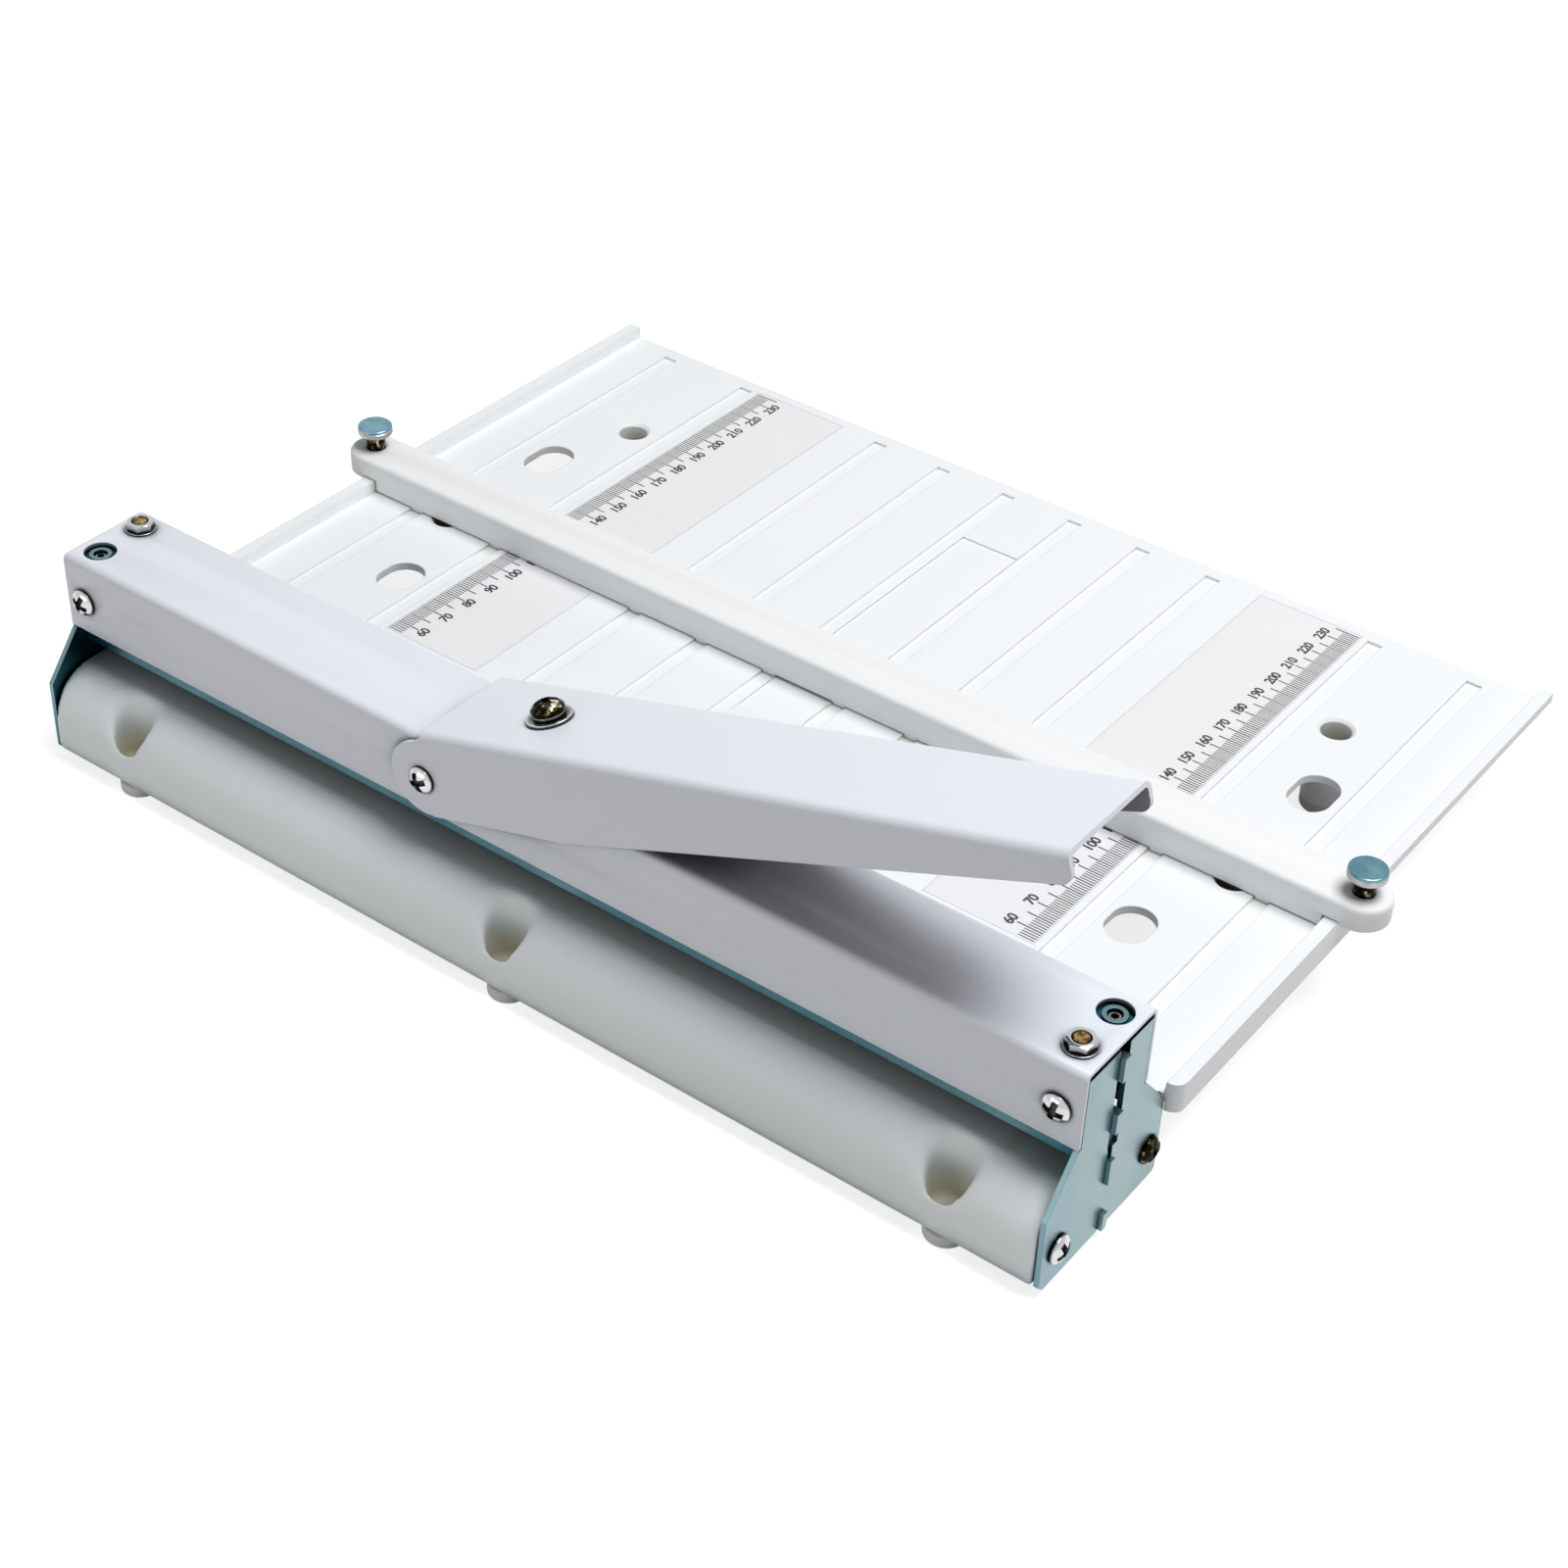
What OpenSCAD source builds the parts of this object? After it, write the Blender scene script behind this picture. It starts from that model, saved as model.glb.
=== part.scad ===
// Desktop paper creasing machine.
// A painted beam on two zinc end plates carries a sprung press bar with a crease blade.
// A lever pushes the bar down onto a grooved anvil; a moulded bed behind it carries a sliding fence.
// Millimetres. X runs along the beam, Y from the crease line to the back of the bed, Z is up.
// The sizes below are taken from the top face of the bed and the zero line of its rulers;
// place() then moves everything so that the origin is the middle of the machine, on the bench.

/* [Beam] */
// Length of the beam over its ends
beam_len = 337.5; // [325:0.5:420]
// Outside width of the beam
beam_w = 30.8; // [29:0.1:34]
// Height of the beam's walls, over its top
beam_h = 23.4; // [21:0.1:25]
// Height of the beam's top above the bed
beam_top_z = 37; // [36.5:0.1:40]
// Sheet thickness of the beam
beam_t = 1.2; // [1:0.1:1.4]
// Inside bend radius of the beam
beam_bend_r = 0.8; // [0.4:0.1:1.6]

/* [End plates] */
// Sheet thickness of the end plates
plate_t = 1.5; // [1.2:0.1:2]
// Front edge of the end plates, ahead of the ruler zero line
plate_front = 25.3; // [24.5:0.1:26]
// Back edge of the end plates, behind the ruler zero line
plate_back = 27.6; // [26:0.1:27.8]
// Depth of the end plates below the bed
plate_drop = 24.7; // [24:0.1:25.5]

/* [Press bar and crease blade] */
// Height of the press channel over its top
press_h = 27.9; // [26:0.1:28.4]
// Sheet thickness of the press channel
press_t = 1.2; // [1:0.1:1.5]
// Thickness of the crease blade's plate
blade_t = 2.6; // [2.2:0.1:3]
// Width of the blade's creasing nose
nose_w = 0.8; // [0.6:0.05:0.8]
// Height of the creasing nose
nose_h = 3; // [2:0.1:4]
// Travel of the press bar
stroke = 4.4; // [3:0.1:4.5]
// Height of the blade's edge above the bed at rest
blade_rest_z = 4; // [3.9:0.1:4.2]

/* [Anvil] */
// Thickness of the anvil's plate
anvil_t = 2; // [1.6:0.1:2.4]
// Width of the anvil's grooved head
anvil_head_w = 6; // [5:0.1:6.2]
// Height of the anvil's grooved head
anvil_head_h = 4; // [3:0.1:6]
// Width of the matrix groove
matrix_w = 1.4; // [1.4:0.05:2]
// Depth of the matrix groove
matrix_h = 1.2; // [0.8:0.1:2]

/* [Bed] */
// Back edge of the bed on the ruler scale
bed_back = 240.5; // [238:0.5:300]
// How far the guide rails stand out past the end plates
rail_out = 3.6; // [3:0.1:5]
// Thickness of the bed
bed_t = 2.5; // [2:0.1:3.5]
// Height of the guide rails above the bed
rail_h = 3.8; // [3.4:0.1:4.5]
// Width of the guide rails at the top
rail_w = 4; // [3:0.1:5]
// Width of the long grooves
groove_w = 4.8; // [3:0.1:6]
// Depth of the long grooves
groove_d = 0.8; // [0.7:0.1:1.2]
// Height of the machine's stance: bench to bed
stance = 27; // [26.6:0.1:32]

/* [Front shroud] */
// Front of the shroud, ahead of the ruler zero line
shroud_front = 26.5; // [26:0.1:30]
// Crown of the shroud above the bed
shroud_crown = 1.6; // [1:0.1:2]
// Wall of the shroud
shroud_t = 2.2; // [1.6:0.1:2.6]
// Bore of the screw wells in the shroud
well_d = 10.4; // [8:0.1:11]
// Spacing of the front feet
foot_pitch = 139.5; // [120:0.5:142]

/* [Fence] */
// Front face of the fence on the ruler scale, as it stands
fence_at = 108.2; // [80:0.1:160]
// Depth of the fence, front to back
fence_w = 16.4; // [14:0.1:18]
// Height of the fence above the bed
fence_h = 10.3; // [8:0.1:12]
// How far the thumb screws' axis lies outside the rails
thumb_out = 2.2; // [2:0.1:4]
// Nearest reading that the fence slides to
fence_near = 52; // [40:1:54]

/* [Thumb screws] */
// Diameter of the thumb screw's head
thumb_d = 10.9; // [9:0.1:13]
// Thickness of the thumb screw's head
thumb_t = 3; // [2:0.1:4]
// Diameter of the thumb screw's shank
thumb_shank_d = 6; // [5:0.1:6.5]
// Height of the neck that shows above the fence
thumb_neck = 4.9; // [3:0.1:6]

/* [Lever] */
// Distance of the lever's pivot left of the middle
pivot_x = 32; // [28:0.5:36]
// Height of the pivot above the bed
pivot_z = 25.1; // [24.5:0.1:25.5]
// Angle of the lever at rest
lever_rest = 16.9; // [12:0.1:20]
// Length of the lever beyond its pivot
lever_len = 202.3; // [150:0.1:240]
// Height of the lever's outer top face over the pivot
lever_rise = 13.9; // [13.8:0.1:16]
// Sheet thickness of the lever
lever_t = 1.45; // [1.2:0.05:1.45]
// Inside bend radius of the lever
lever_bend_r = 1.1; // [0.6:0.1:2]
// Radius of the lever's rounded end round the pivot
lever_boss_r = 10.9; // [9:0.1:11]
// Distance of the push screw from the pivot
push_at = 34.9; // [33:0.1:36]

/* [Hidden] */
$fn = 48;

// Clearances
over = 1;            // overrun of cuts
touch_gap = 0.3;     // between faces that move past each other
slip_gap = 0.1;      // between pieces that slot together
run_gap = 0.05;      // radial clearance of a turning fit
sheet_gap = 0.2;     // between nested sheets

// Colours
paint = [0.86, 0.86, 0.90];
zinc = [0.66, 0.75, 0.77];
white = [0.93, 0.94, 0.93];
chrome = [0.80, 0.80, 0.80];
brass = [0.72, 0.60, 0.36];
label = [0.87, 0.87, 0.87];
black = [0.12, 0.12, 0.13];

// Lines that the pieces share
beam_y = 1.1;                                   // middle of the beam
blade_y = 1.9;                                  // crease line
beam_low_z = beam_top_z - beam_h;
beam_half_in = beam_w / 2 - beam_t;
plate_x = beam_len / 2;                         // outer face of the end plates
plate_in = plate_x - plate_t;
mid_y = (bed_back - shroud_front) / 2;

// M4 and M5 screws
m4_r = 2;
m4_clear_r = 2.3;
m4_head_r = 4;
m4_head_h = 2.6;
m4_af = 7;
m4_nut_h = 3.2;
m4_washer_r = 4.5;
m5_r = 2.5;
m5_head_r = 4.6;
m5_head_h = 3.4;
m5_washer_r = 6.3;
m5_washer_t = 1;
m5_lock_r = 4.4;
m5_lock_t = 1.2;
cross_w = 1.1;       // arm width of a cross recess
cross_share = 0.56;  // its reach as a share of the head's diameter
cross_depth_share = 0.55;

// End plates: neck inside the beam, then a spread foot
neck_gap = 1.4;                                 // below the beam's top sheet
plate_top_z = beam_top_z - beam_t - neck_gap;
neck_half = beam_half_in - sheet_gap;
shoulder_z = beam_low_z - touch_gap;
shoulder_half = beam_w / 2 - 0.5 * beam_t;
knee_z = -1.2;                                  // where the front slope meets the upright edge
back_knee_z = -1.9;
back_bend_y = plate_back - 3.9;
back_bend_z = 4.2;
plate_chamfer = 1.9;
flange_len = 13.5;
flange_low_z = 14.5;
flange_top_z = 30;

// Slots in the end plates
ear_slot_back = 1.8;                            // room behind the ears
ear_slot_z = 2.3;

// Ears of the blade and tabs of the anvil
ear_high = [25, 32.3];
ear_low = [8.4, 14.6];
ear_out = 1.5;                                  // how far they stand out of the plates
tab_out = 1.3;
anvil_top_z = -0.2;
anvil_low_z = -24.2;
tab_high = [-8.7, -0.8];
tab_low = [anvil_low_z, -18.8];
anvil_flange = 12;

// Press bar
press_side_gap = 0.4;                           // to the flanges of the end plates
press_half_w = neck_half - plate_t - press_side_gap;
press_top_z = beam_top_z - beam_t - touch_gap;
press_low_z = press_top_z - press_h;
press_half_len = plate_in - touch_gap;
press_end_len = 10;                             // where the flanges are cut back at each end
press_strip = 4.4;                              // strip that stays below the cut
blade_tabs = 5;
blade_tab_len = 12;
blade_tab_pitch = 70;

// Bolts at the beam's ends
end_x = beam_len / 2 - 6.9;
access_r = 4.6;
bolt_head_z = 13.2;                             // underside of the guide bolts
spring_wire = 0.7;
spring_play_share = 5 / 17;                     // play on the bolt, as a share of the free room
blade_reach = blade_y - beam_y + blade_t / 2;   // of the blade from the beam's middle
spring_room = (press_half_w - press_t - blade_reach) / 2 - m4_r - spring_wire;
spring_r = m4_r + spring_wire + spring_play_share * spring_room;
bolt_off = press_half_w - press_t - spring_r - slip_gap;
nut_stick_out = 0.3;
guide_nut_h = 2.2;
guide_washer_t = 0.6;
rim_r = 3.2;
rim_h = 0.7;
depth_screw_z = 22;
stop_tab_half = 3.5;
stop_tab_len = press_end_len - touch_gap;
wall_screw_z = 23.9;
wall_screw_in = 6.9;                            // from the beam's end
wall_screw_len = 3.6;

// Screws through the end plates
shroud_screw_y = -18.4;
shroud_screw_z = -14.6;
bed_screw_y = 22.6;
bed_screw_z = -13.9;
side_screw_len = 10;
boss_len = 9;
boss_r = 4.2;

// Shroud section: a soft quarter round
shroud_spring_y = -7;                           // where the crown starts to fall
shroud_low_z = -23;
anvil_flange_t = shroud_low_z - touch_gap - anvil_low_z;  // the flange lies under the shroud's ends
shroud_side_z = -20.7;                          // widest level of the round
shroud_power = 2.8;
shroud_back_y = blade_y - anvil_head_w / 2 - touch_gap;
shroud_back_z = -8;                             // lower edge of the lip at the back
shroud_lead = 1;
shroud_steps = 20;
shroud_lip_in = 0.8;
shroud_end_gap = 0.35;
well_r = well_d / 2;
well_y = -20.6;
well_wall = 1.5;
well_floor_z = -19.5;
well_flare = 1.4;
leg_hole_r = 2.3;
foot_r = 5.8;
foot_round = 1.2;
foot_low_z = -stance;
foot_spigot_r = 4;
foot_spigot_h = 1.4;

// Bed
bed_half_w = plate_x + rail_out;
tongue_half_w = plate_in - 2.5 * touch_gap;
tongue_front = blade_y + anvil_head_w / 2 + touch_gap;
wide_front = plate_back + 2.5 * touch_gap;
corner_r = 3.5;
rail_under_z = 0.8;
rail_foot_in = 0.4;
bed_edge_in = 2.8;                              // overhang of the rail lip
skirt_end = 118;
skirt_z = -5.2;
groove_front = fence_near - touch_gap;
groove_back_in = 5;
groove_back = bed_back - groove_back_in;
groove_xs = [12.5, 37.5, 62.5, 118, 150.4];
scale_in_x = 78.5;
scale_out_x = 113.3;
scale_front = 55;
scale_back = 236.5;
scale_t = 0.2;
name_half_w = 10;
name_front = 90;
name_back = 205.7;
name_d = 0.5;
grip_w = 12.6;
grip_front = [128.7, 77.7, 15.8];               // middle x, middle y and length
grip_back = [139, 158.2, 18];
leg_spots = [[129.5, 189.5], [140, 111.5]];
leg_r = 7.2;
leg_bore_r = 4.6;
leg_dish = 0.9;
leg_low_z = -23;
leg_floor = 3;
rib_t = 1.8;
rib_h = 4.5;
rib_side_in = 12.3;
rib_xs = [25, 75, 111.5, bed_half_w - rib_side_in];
rib_y_shares = [0.04, 0.32, 0.5, 0.7, 0.88];
rib_ys = concat([for (share = rib_y_shares) wide_front + share * (bed_back - wide_front)],
                [bed_back - 2 * rib_t]);

// Fence
fence_mid_y = fence_at + fence_w / 2;
fence_screw_x = bed_half_w + thumb_out;
fence_step_x = bed_half_w - rail_w - rail_foot_in - touch_gap;  // where it steps up over the rails
fence_wing_drop = 0.8;
fence_wing_z = rail_h - fence_wing_drop;        // underside of its ends, outside the rails
fence_rest_gap = 0.35;
fence_round = 1.6;
fence_wall = 2.4;
fence_ribs = concat([0], groove_xs, [fence_step_x - fence_wall / 2]);
tooth_w = groove_w - 0.6;
tooth_len = 4;
tooth_gap = 0.3;
cam_off = 0.3;
cam_gap = 0.3;                                  // least gap of the pin to the rail
cam_r = thumb_out - cam_off - cam_gap;
thumb_bevel_share = 1 / 6;                      // of the head's thickness

// Lever
lever_half = beam_w / 2 + touch_gap;            // inside half width
lever_plate_s = 3.2;                            // start of the top sheet
lever_low = -11.2;
lever_knee_s = 46;
lever_tip_p = 5.2;
lever_tip_r = 3.5;
shoulder_r = 2.5;
pad_r = 5;
pad_ball_r = 6;                                 // of its crowned lower end
pad_gap = 0.3;
pad_ball_z = press_top_z + pad_gap + pad_ball_r;
pad_ball_p = (pad_ball_z - pivot_z - push_at * sin(lever_rest)) / cos(lever_rest);
pad_slot_room = 1;                              // round the pad, in the beam's opening
pad_slot_run = 2;                               // more along the beam

// Moves the machine so that its middle on the bench is the origin
module place() {
    translate([0, -mid_y, stance]) children();
}

// Extrudes a (Y, Z) outline along X
module along_x(x0, x1) {
    translate([x0, 0, 0]) rotate([90, 0, 90]) linear_extrude(x1 - x0) children();
}

// Extrudes an (X, Z) outline along Y
module along_y(y0, y1) {
    translate([0, y1, 0]) rotate([90, 0, 0]) linear_extrude(y1 - y0) children();
}

// Box from its lowest and highest corners
module span(low, high) {
    translate(low) cube(high - low);
}

module both_ends() {
    for (s = [-1, 1]) scale_x(s) children();
}

module scale_x(s) {
    if (s < 0) mirror([1, 0, 0]) children();
    else children();
}

// Rounded-top block section: middle on zero, top on zero
module round_top(w, h, r) {
    translate([-w / 2, -h]) square([w, h - r]);
    translate([r - w / 2, -r]) square([w - 2 * r, r]);
    for (s = [-1, 1]) translate([s * (w / 2 - r), -r]) circle(r);
}

// Section of a folded channel, open below
module channel_section(w, h, t, bend) {
    difference() {
        round_top(w, h, bend + t);
        translate([0, -t]) round_top(w - 2 * t, h - t + over, bend);
    }
}

// Domed screw head with a cross recess, seated on zero and facing +Z
module pan_head(r, h) {
    edge_h = h / 3;
    dome_h = h - edge_h;
    ball_r = (r * r + dome_h * dome_h) / (2 * dome_h);
    difference() {
        intersection() {
            cylinder(r = r, h = h);
            translate([0, 0, h - ball_r]) sphere(ball_r);
        }
        for (a = [0, 90]) rotate(a)
            translate([-r * cross_share, -cross_w / 2, h - h * cross_depth_share])
                cube([2 * r * cross_share, cross_w, h]);
    }
}

module pan_screw(r, head_r, head_h, len) {
    pan_head(head_r, head_h);
    translate([0, 0, -len]) cylinder(r = r, h = len);
}

module hexagon(af, h) {
    cylinder(r = af / sqrt(3), h = h, $fn = 6);
}

// Places a screw that points into the machine from the right end plate
module from_right(y, z) {
    translate([plate_x, y, z]) rotate([0, 90, 0]) children();
}

// Point of the bolts at one end: s is the end, d is -1 for the guide bolt and 1 for the depth screw
function end_spot(s, d) = [s * end_x, beam_y + s * d * bolt_off];

// Holes of the wall screws, from both sides of the beam
module at_wall_screws() {
    for (s = [-1, 1], f = [-1, 1])
        translate([s * (plate_x - wall_screw_in), beam_y + f * beam_w / 2, wall_screw_z])
            rotate([f * -90, 0, 0]) children();
}

// The two pivots of the lever, facing outwards
module at_pivots(reach) {
    for (f = [-1, 1]) translate([-pivot_x, beam_y + f * reach, pivot_z])
        rotate([f * -90, 0, 0]) children();
}

module beam() {
    color(paint) place() difference() {
        along_x(-beam_len / 2, beam_len / 2) translate([beam_y, beam_top_z])
            channel_section(beam_w, beam_h, beam_t, beam_bend_r);
        for (s = [-1, 1]) {
            translate([end_spot(s, 1).x, end_spot(s, 1).y, press_top_z])
                cylinder(r = access_r, h = beam_t + over);
            translate([end_spot(s, -1).x, end_spot(s, -1).y, press_top_z])
                cylinder(r = m4_r + slip_gap, h = beam_t + over);
        }
        at_wall_screws() translate([0, 0, -beam_t - sheet_gap / 2])
            cylinder(r = m4_r + slip_gap, h = beam_t + over);
        at_pivots(beam_w / 2) translate([0, 0, -beam_t - sheet_gap])
            cylinder(r = m4_r + run_gap, h = beam_t + over);
        pad_slot();
    }
}

// Opening in the beam's top for the push pad
module pad_slot() {
    ball_x = push_at * cos(lever_rest) - pad_ball_p * sin(lever_rest) - pivot_x;
    end_r = pad_r + pad_slot_room;
    translate([ball_x + pad_slot_room, beam_y, press_top_z]) linear_extrude(beam_t + over) {
        square([2 * pad_slot_run, 2 * end_r], center = true);
        for (s = [-1, 1]) translate([s * pad_slot_run, 0]) circle(end_r);
    }
}

// Outline of an end plate in Y and Z
module plate_outline() {
    polygon([
        [beam_y - neck_half, plate_top_z],
        [beam_y - neck_half, shoulder_z],
        [beam_y - shoulder_half, shoulder_z],
        [-plate_front, knee_z],
        [-plate_front, plate_chamfer - plate_drop],
        [plate_chamfer - plate_front, -plate_drop],
        [plate_back - plate_chamfer / 2, -plate_drop],
        [plate_back, plate_chamfer / 2 - plate_drop],
        [plate_back, back_knee_z],
        [back_bend_y, back_bend_z],
        [beam_y + shoulder_half, shoulder_z],
        [beam_y + neck_half, shoulder_z],
        [beam_y + neck_half, plate_top_z]
    ]);
}

// End plate at the right; stop_y is where its stop tab stands
module side_plate(stop_y) {
    ear_front = blade_y - blade_t / 2 - slip_gap;
    tab_front = blade_y - anvil_t / 2 - slip_gap / 2;
    tab_back = blade_y + anvil_t / 2 + slip_gap / 2;
    difference() {
        along_x(plate_in, plate_x) plate_outline();
        span([plate_in - over, ear_front, ear_slot_z],
             [plate_x + over, ear_front + blade_t + slip_gap + ear_slot_back, plate_top_z + over]);
        span([plate_in - over, tab_front, tab_high[0] - slip_gap],
             [plate_x + over, tab_back, ear_slot_z + over]);
        span([plate_in - over, tab_front, -plate_drop - over],
             [plate_x + over, tab_back, tab_low[1] + slip_gap]);
        for (p = [[shroud_screw_y, shroud_screw_z], [bed_screw_y, bed_screw_z]])
            from_right(p.x, p.y) translate([0, 0, -plate_t - over])
                cylinder(r = m4_r + slip_gap, h = plate_t + 2 * over);
    }
    // Bent flanges that the wall screws of the beam are tapped into
    difference() {
        for (f = [-1, 1]) {
            outer = beam_y + f * neck_half;
            inner = beam_y + f * (neck_half - plate_t);
            span([plate_in - flange_len, min(inner, outer), flange_low_z],
                 [plate_in, max(inner, outer), flange_top_z]);
        }
        at_wall_screws() translate([0, 0, -beam_w / 2]) cylinder(r = m4_r, h = beam_w / 2);
    }
    // Stop tab under the depth screw
    stop_top = depth_screw_z - stroke - touch_gap;
    span([plate_in - stop_tab_len, stop_y - stop_tab_half, stop_top - plate_t],
         [plate_in, stop_y + stop_tab_half, stop_top]);
}

module side_plate_left() {
    color(zinc) place() mirror([1, 0, 0]) side_plate(end_spot(-1, 1).y);
}

module side_plate_right() {
    color(zinc) place() side_plate(end_spot(1, 1).y);
}

module anvil() {
    color(zinc) place() difference() {
        union() {
            along_x(touch_gap - plate_in, plate_in - touch_gap) {
                translate([blade_y - anvil_t / 2, anvil_low_z])
                    square([anvil_t, anvil_top_z - anvil_low_z]);
                translate([blade_y - anvil_head_w / 2, anvil_top_z - anvil_head_h])
                    square([anvil_head_w, anvil_head_h]);
                translate([blade_y - anvil_flange, anvil_low_z]) square([anvil_flange, anvil_flange_t]);
            }
            for (tab = [tab_high, tab_low])
                span([-plate_x - tab_out, blade_y - anvil_t / 2, tab[0]],
                     [plate_x + tab_out, blade_y + anvil_t / 2, tab[1]]);
        }
        span([-plate_x, blade_y - matrix_w / 2, anvil_top_z - matrix_h],
             [plate_x, blade_y + matrix_w / 2, anvil_top_z + over]);
    }
}

// One corner of the shroud's round, from the crown to its side
function round_point(a, reach, rise) = [
    shroud_spring_y - reach * pow(sin(a), 2 / shroud_power),
    shroud_side_z + rise * pow(cos(a), 2 / shroud_power)
];

function round_points(inset) = [
    for (i = [0 : shroud_steps])
        round_point(90 * i / shroud_steps,
                    shroud_front + shroud_spring_y - inset, shroud_crown - shroud_side_z - inset)
];

// Whole section of the shroud, filled
module shroud_solid_section() {
    polygon(concat(
        [[shroud_back_y, shroud_low_z], [shroud_back_y, shroud_crown - shroud_lead],
         [shroud_back_y - shroud_lead, shroud_crown]],
        round_points(0),
        [[shroud_lip_in - shroud_front, shroud_low_z]]
    ));
}

module shroud_hollow_section() {
    polygon(concat(
        [[shroud_back_y - shroud_t, shroud_low_z - over],
         [shroud_back_y - shroud_t, shroud_crown - shroud_t]],
        round_points(shroud_t),
        [[shroud_t + shroud_lip_in - shroud_front, shroud_low_z - over]]
    ));
}

module front_shroud() {
    half = plate_in - shroud_end_gap;
    color(white) place() difference() {
        intersection() {
            union() {
                difference() {
                    along_x(-half, half) shroud_solid_section();
                    along_x(shroud_t - half, half - shroud_t) shroud_hollow_section();
                }
                for (s = [-1, 0, 1]) translate([s * foot_pitch, well_y, shroud_low_z])
                    cylinder(r = well_r + well_wall, h = shroud_crown - shroud_low_z);
                both_ends() translate([half - boss_len, shroud_screw_y, shroud_screw_z])
                    rotate([0, 90, 0]) cylinder(r = boss_r, h = boss_len);
            }
            along_x(-half, half) shroud_solid_section();
        }
        // the wall towards the anvil is only a short lip
        span([-half - over, shroud_back_y - shroud_t - over, shroud_low_z - over],
             [half + over, shroud_back_y + over, shroud_back_z]);
        for (s = [-1, 0, 1]) translate([s * foot_pitch, well_y, 0]) {
            translate([0, 0, well_floor_z]) cylinder(r = well_r, h = -well_floor_z + shroud_crown + over);
            translate([0, 0, -well_r]) cylinder(r1 = well_r, r2 = well_r + well_flare, h = well_r + over);
            translate([0, 0, shroud_low_z - over]) cylinder(r = leg_hole_r, h = stance);
            translate([0, 0, shroud_low_z - over]) cylinder(r = foot_spigot_r + slip_gap / 2,
                                                            h = over + foot_spigot_h + slip_gap);
        }
        both_ends() from_right(shroud_screw_y, shroud_screw_z) translate([0, 0, -side_screw_len - over])
            cylinder(r = m4_r, h = side_screw_len + over);
    }
}

// Rubber foot with a spigot and a hole for a bench screw
module foot(r) {
    difference() {
        union() {
            rotate_extrude() {
                translate([0, foot_low_z + foot_round])
                    square([r, shroud_low_z - foot_low_z - foot_round]);
                translate([0, foot_low_z]) square([r - foot_round, foot_round]);
                intersection() {
                    translate([r - foot_round, foot_low_z + foot_round]) circle(foot_round);
                    translate([0, foot_low_z]) square([r, foot_round]);
                }
            }
            translate([0, 0, shroud_low_z]) cylinder(r = foot_spigot_r, h = foot_spigot_h);
        }
        translate([0, 0, foot_low_z - over]) cylinder(r = leg_hole_r, h = stance);
    }
}

module front_feet() {
    color(white) place() for (s = [-1, 0, 1]) translate([s * foot_pitch, well_y, 0]) foot(foot_r);
}

module rear_feet() {
    color(white) place() for (s = [-1, 1], p = leg_spots) translate([s * p.x, p.y, 0]) foot(leg_r - slip_gap);
}

// Section of the right rail in X and Z
module rail_section() {
    inner = bed_half_w - rail_w;
    edge = bed_half_w - bed_edge_in;
    polygon([
        [inner - rail_foot_in, -bed_t], [inner - rail_foot_in, 0], [inner, rail_h], [bed_half_w, rail_h],
        [bed_half_w, rail_under_z], [edge, rail_under_z], [edge, -bed_t]
    ]);
}

// Outline of the wide part of the bed, with its front corners rounded
module wide_plan(half) {
    translate([-half, wide_front + corner_r]) square([2 * half, bed_back - wide_front - corner_r]);
    translate([corner_r - half, wide_front]) square([2 * (half - corner_r), corner_r]);
    for (s = [-1, 1]) translate([s * (half - corner_r), wide_front + corner_r]) circle(corner_r);
}

// Long hole along Y through the bed; g is [x, y, length]
module grip_hole(g) {
    translate([g.x, g.y, -bed_t - over]) linear_extrude(bed_t + 2 * over) {
        square([grip_w, g.z - grip_w], center = true);
        for (s = [-1, 1]) translate([0, s * (g.z - grip_w) / 2]) circle(grip_w / 2);
    }
}

module bed_ribs() {
    inner = bed_half_w - bed_edge_in - rib_t;
    both_ends() for (x = rib_xs)
        span([x, wide_front, -bed_t - rib_h], [x + rib_t, bed_back - rib_t, -bed_t]);
    for (y = rib_ys) span([-inner, y, -bed_t - rib_h], [inner, y + rib_t, -bed_t]);
}

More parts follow.
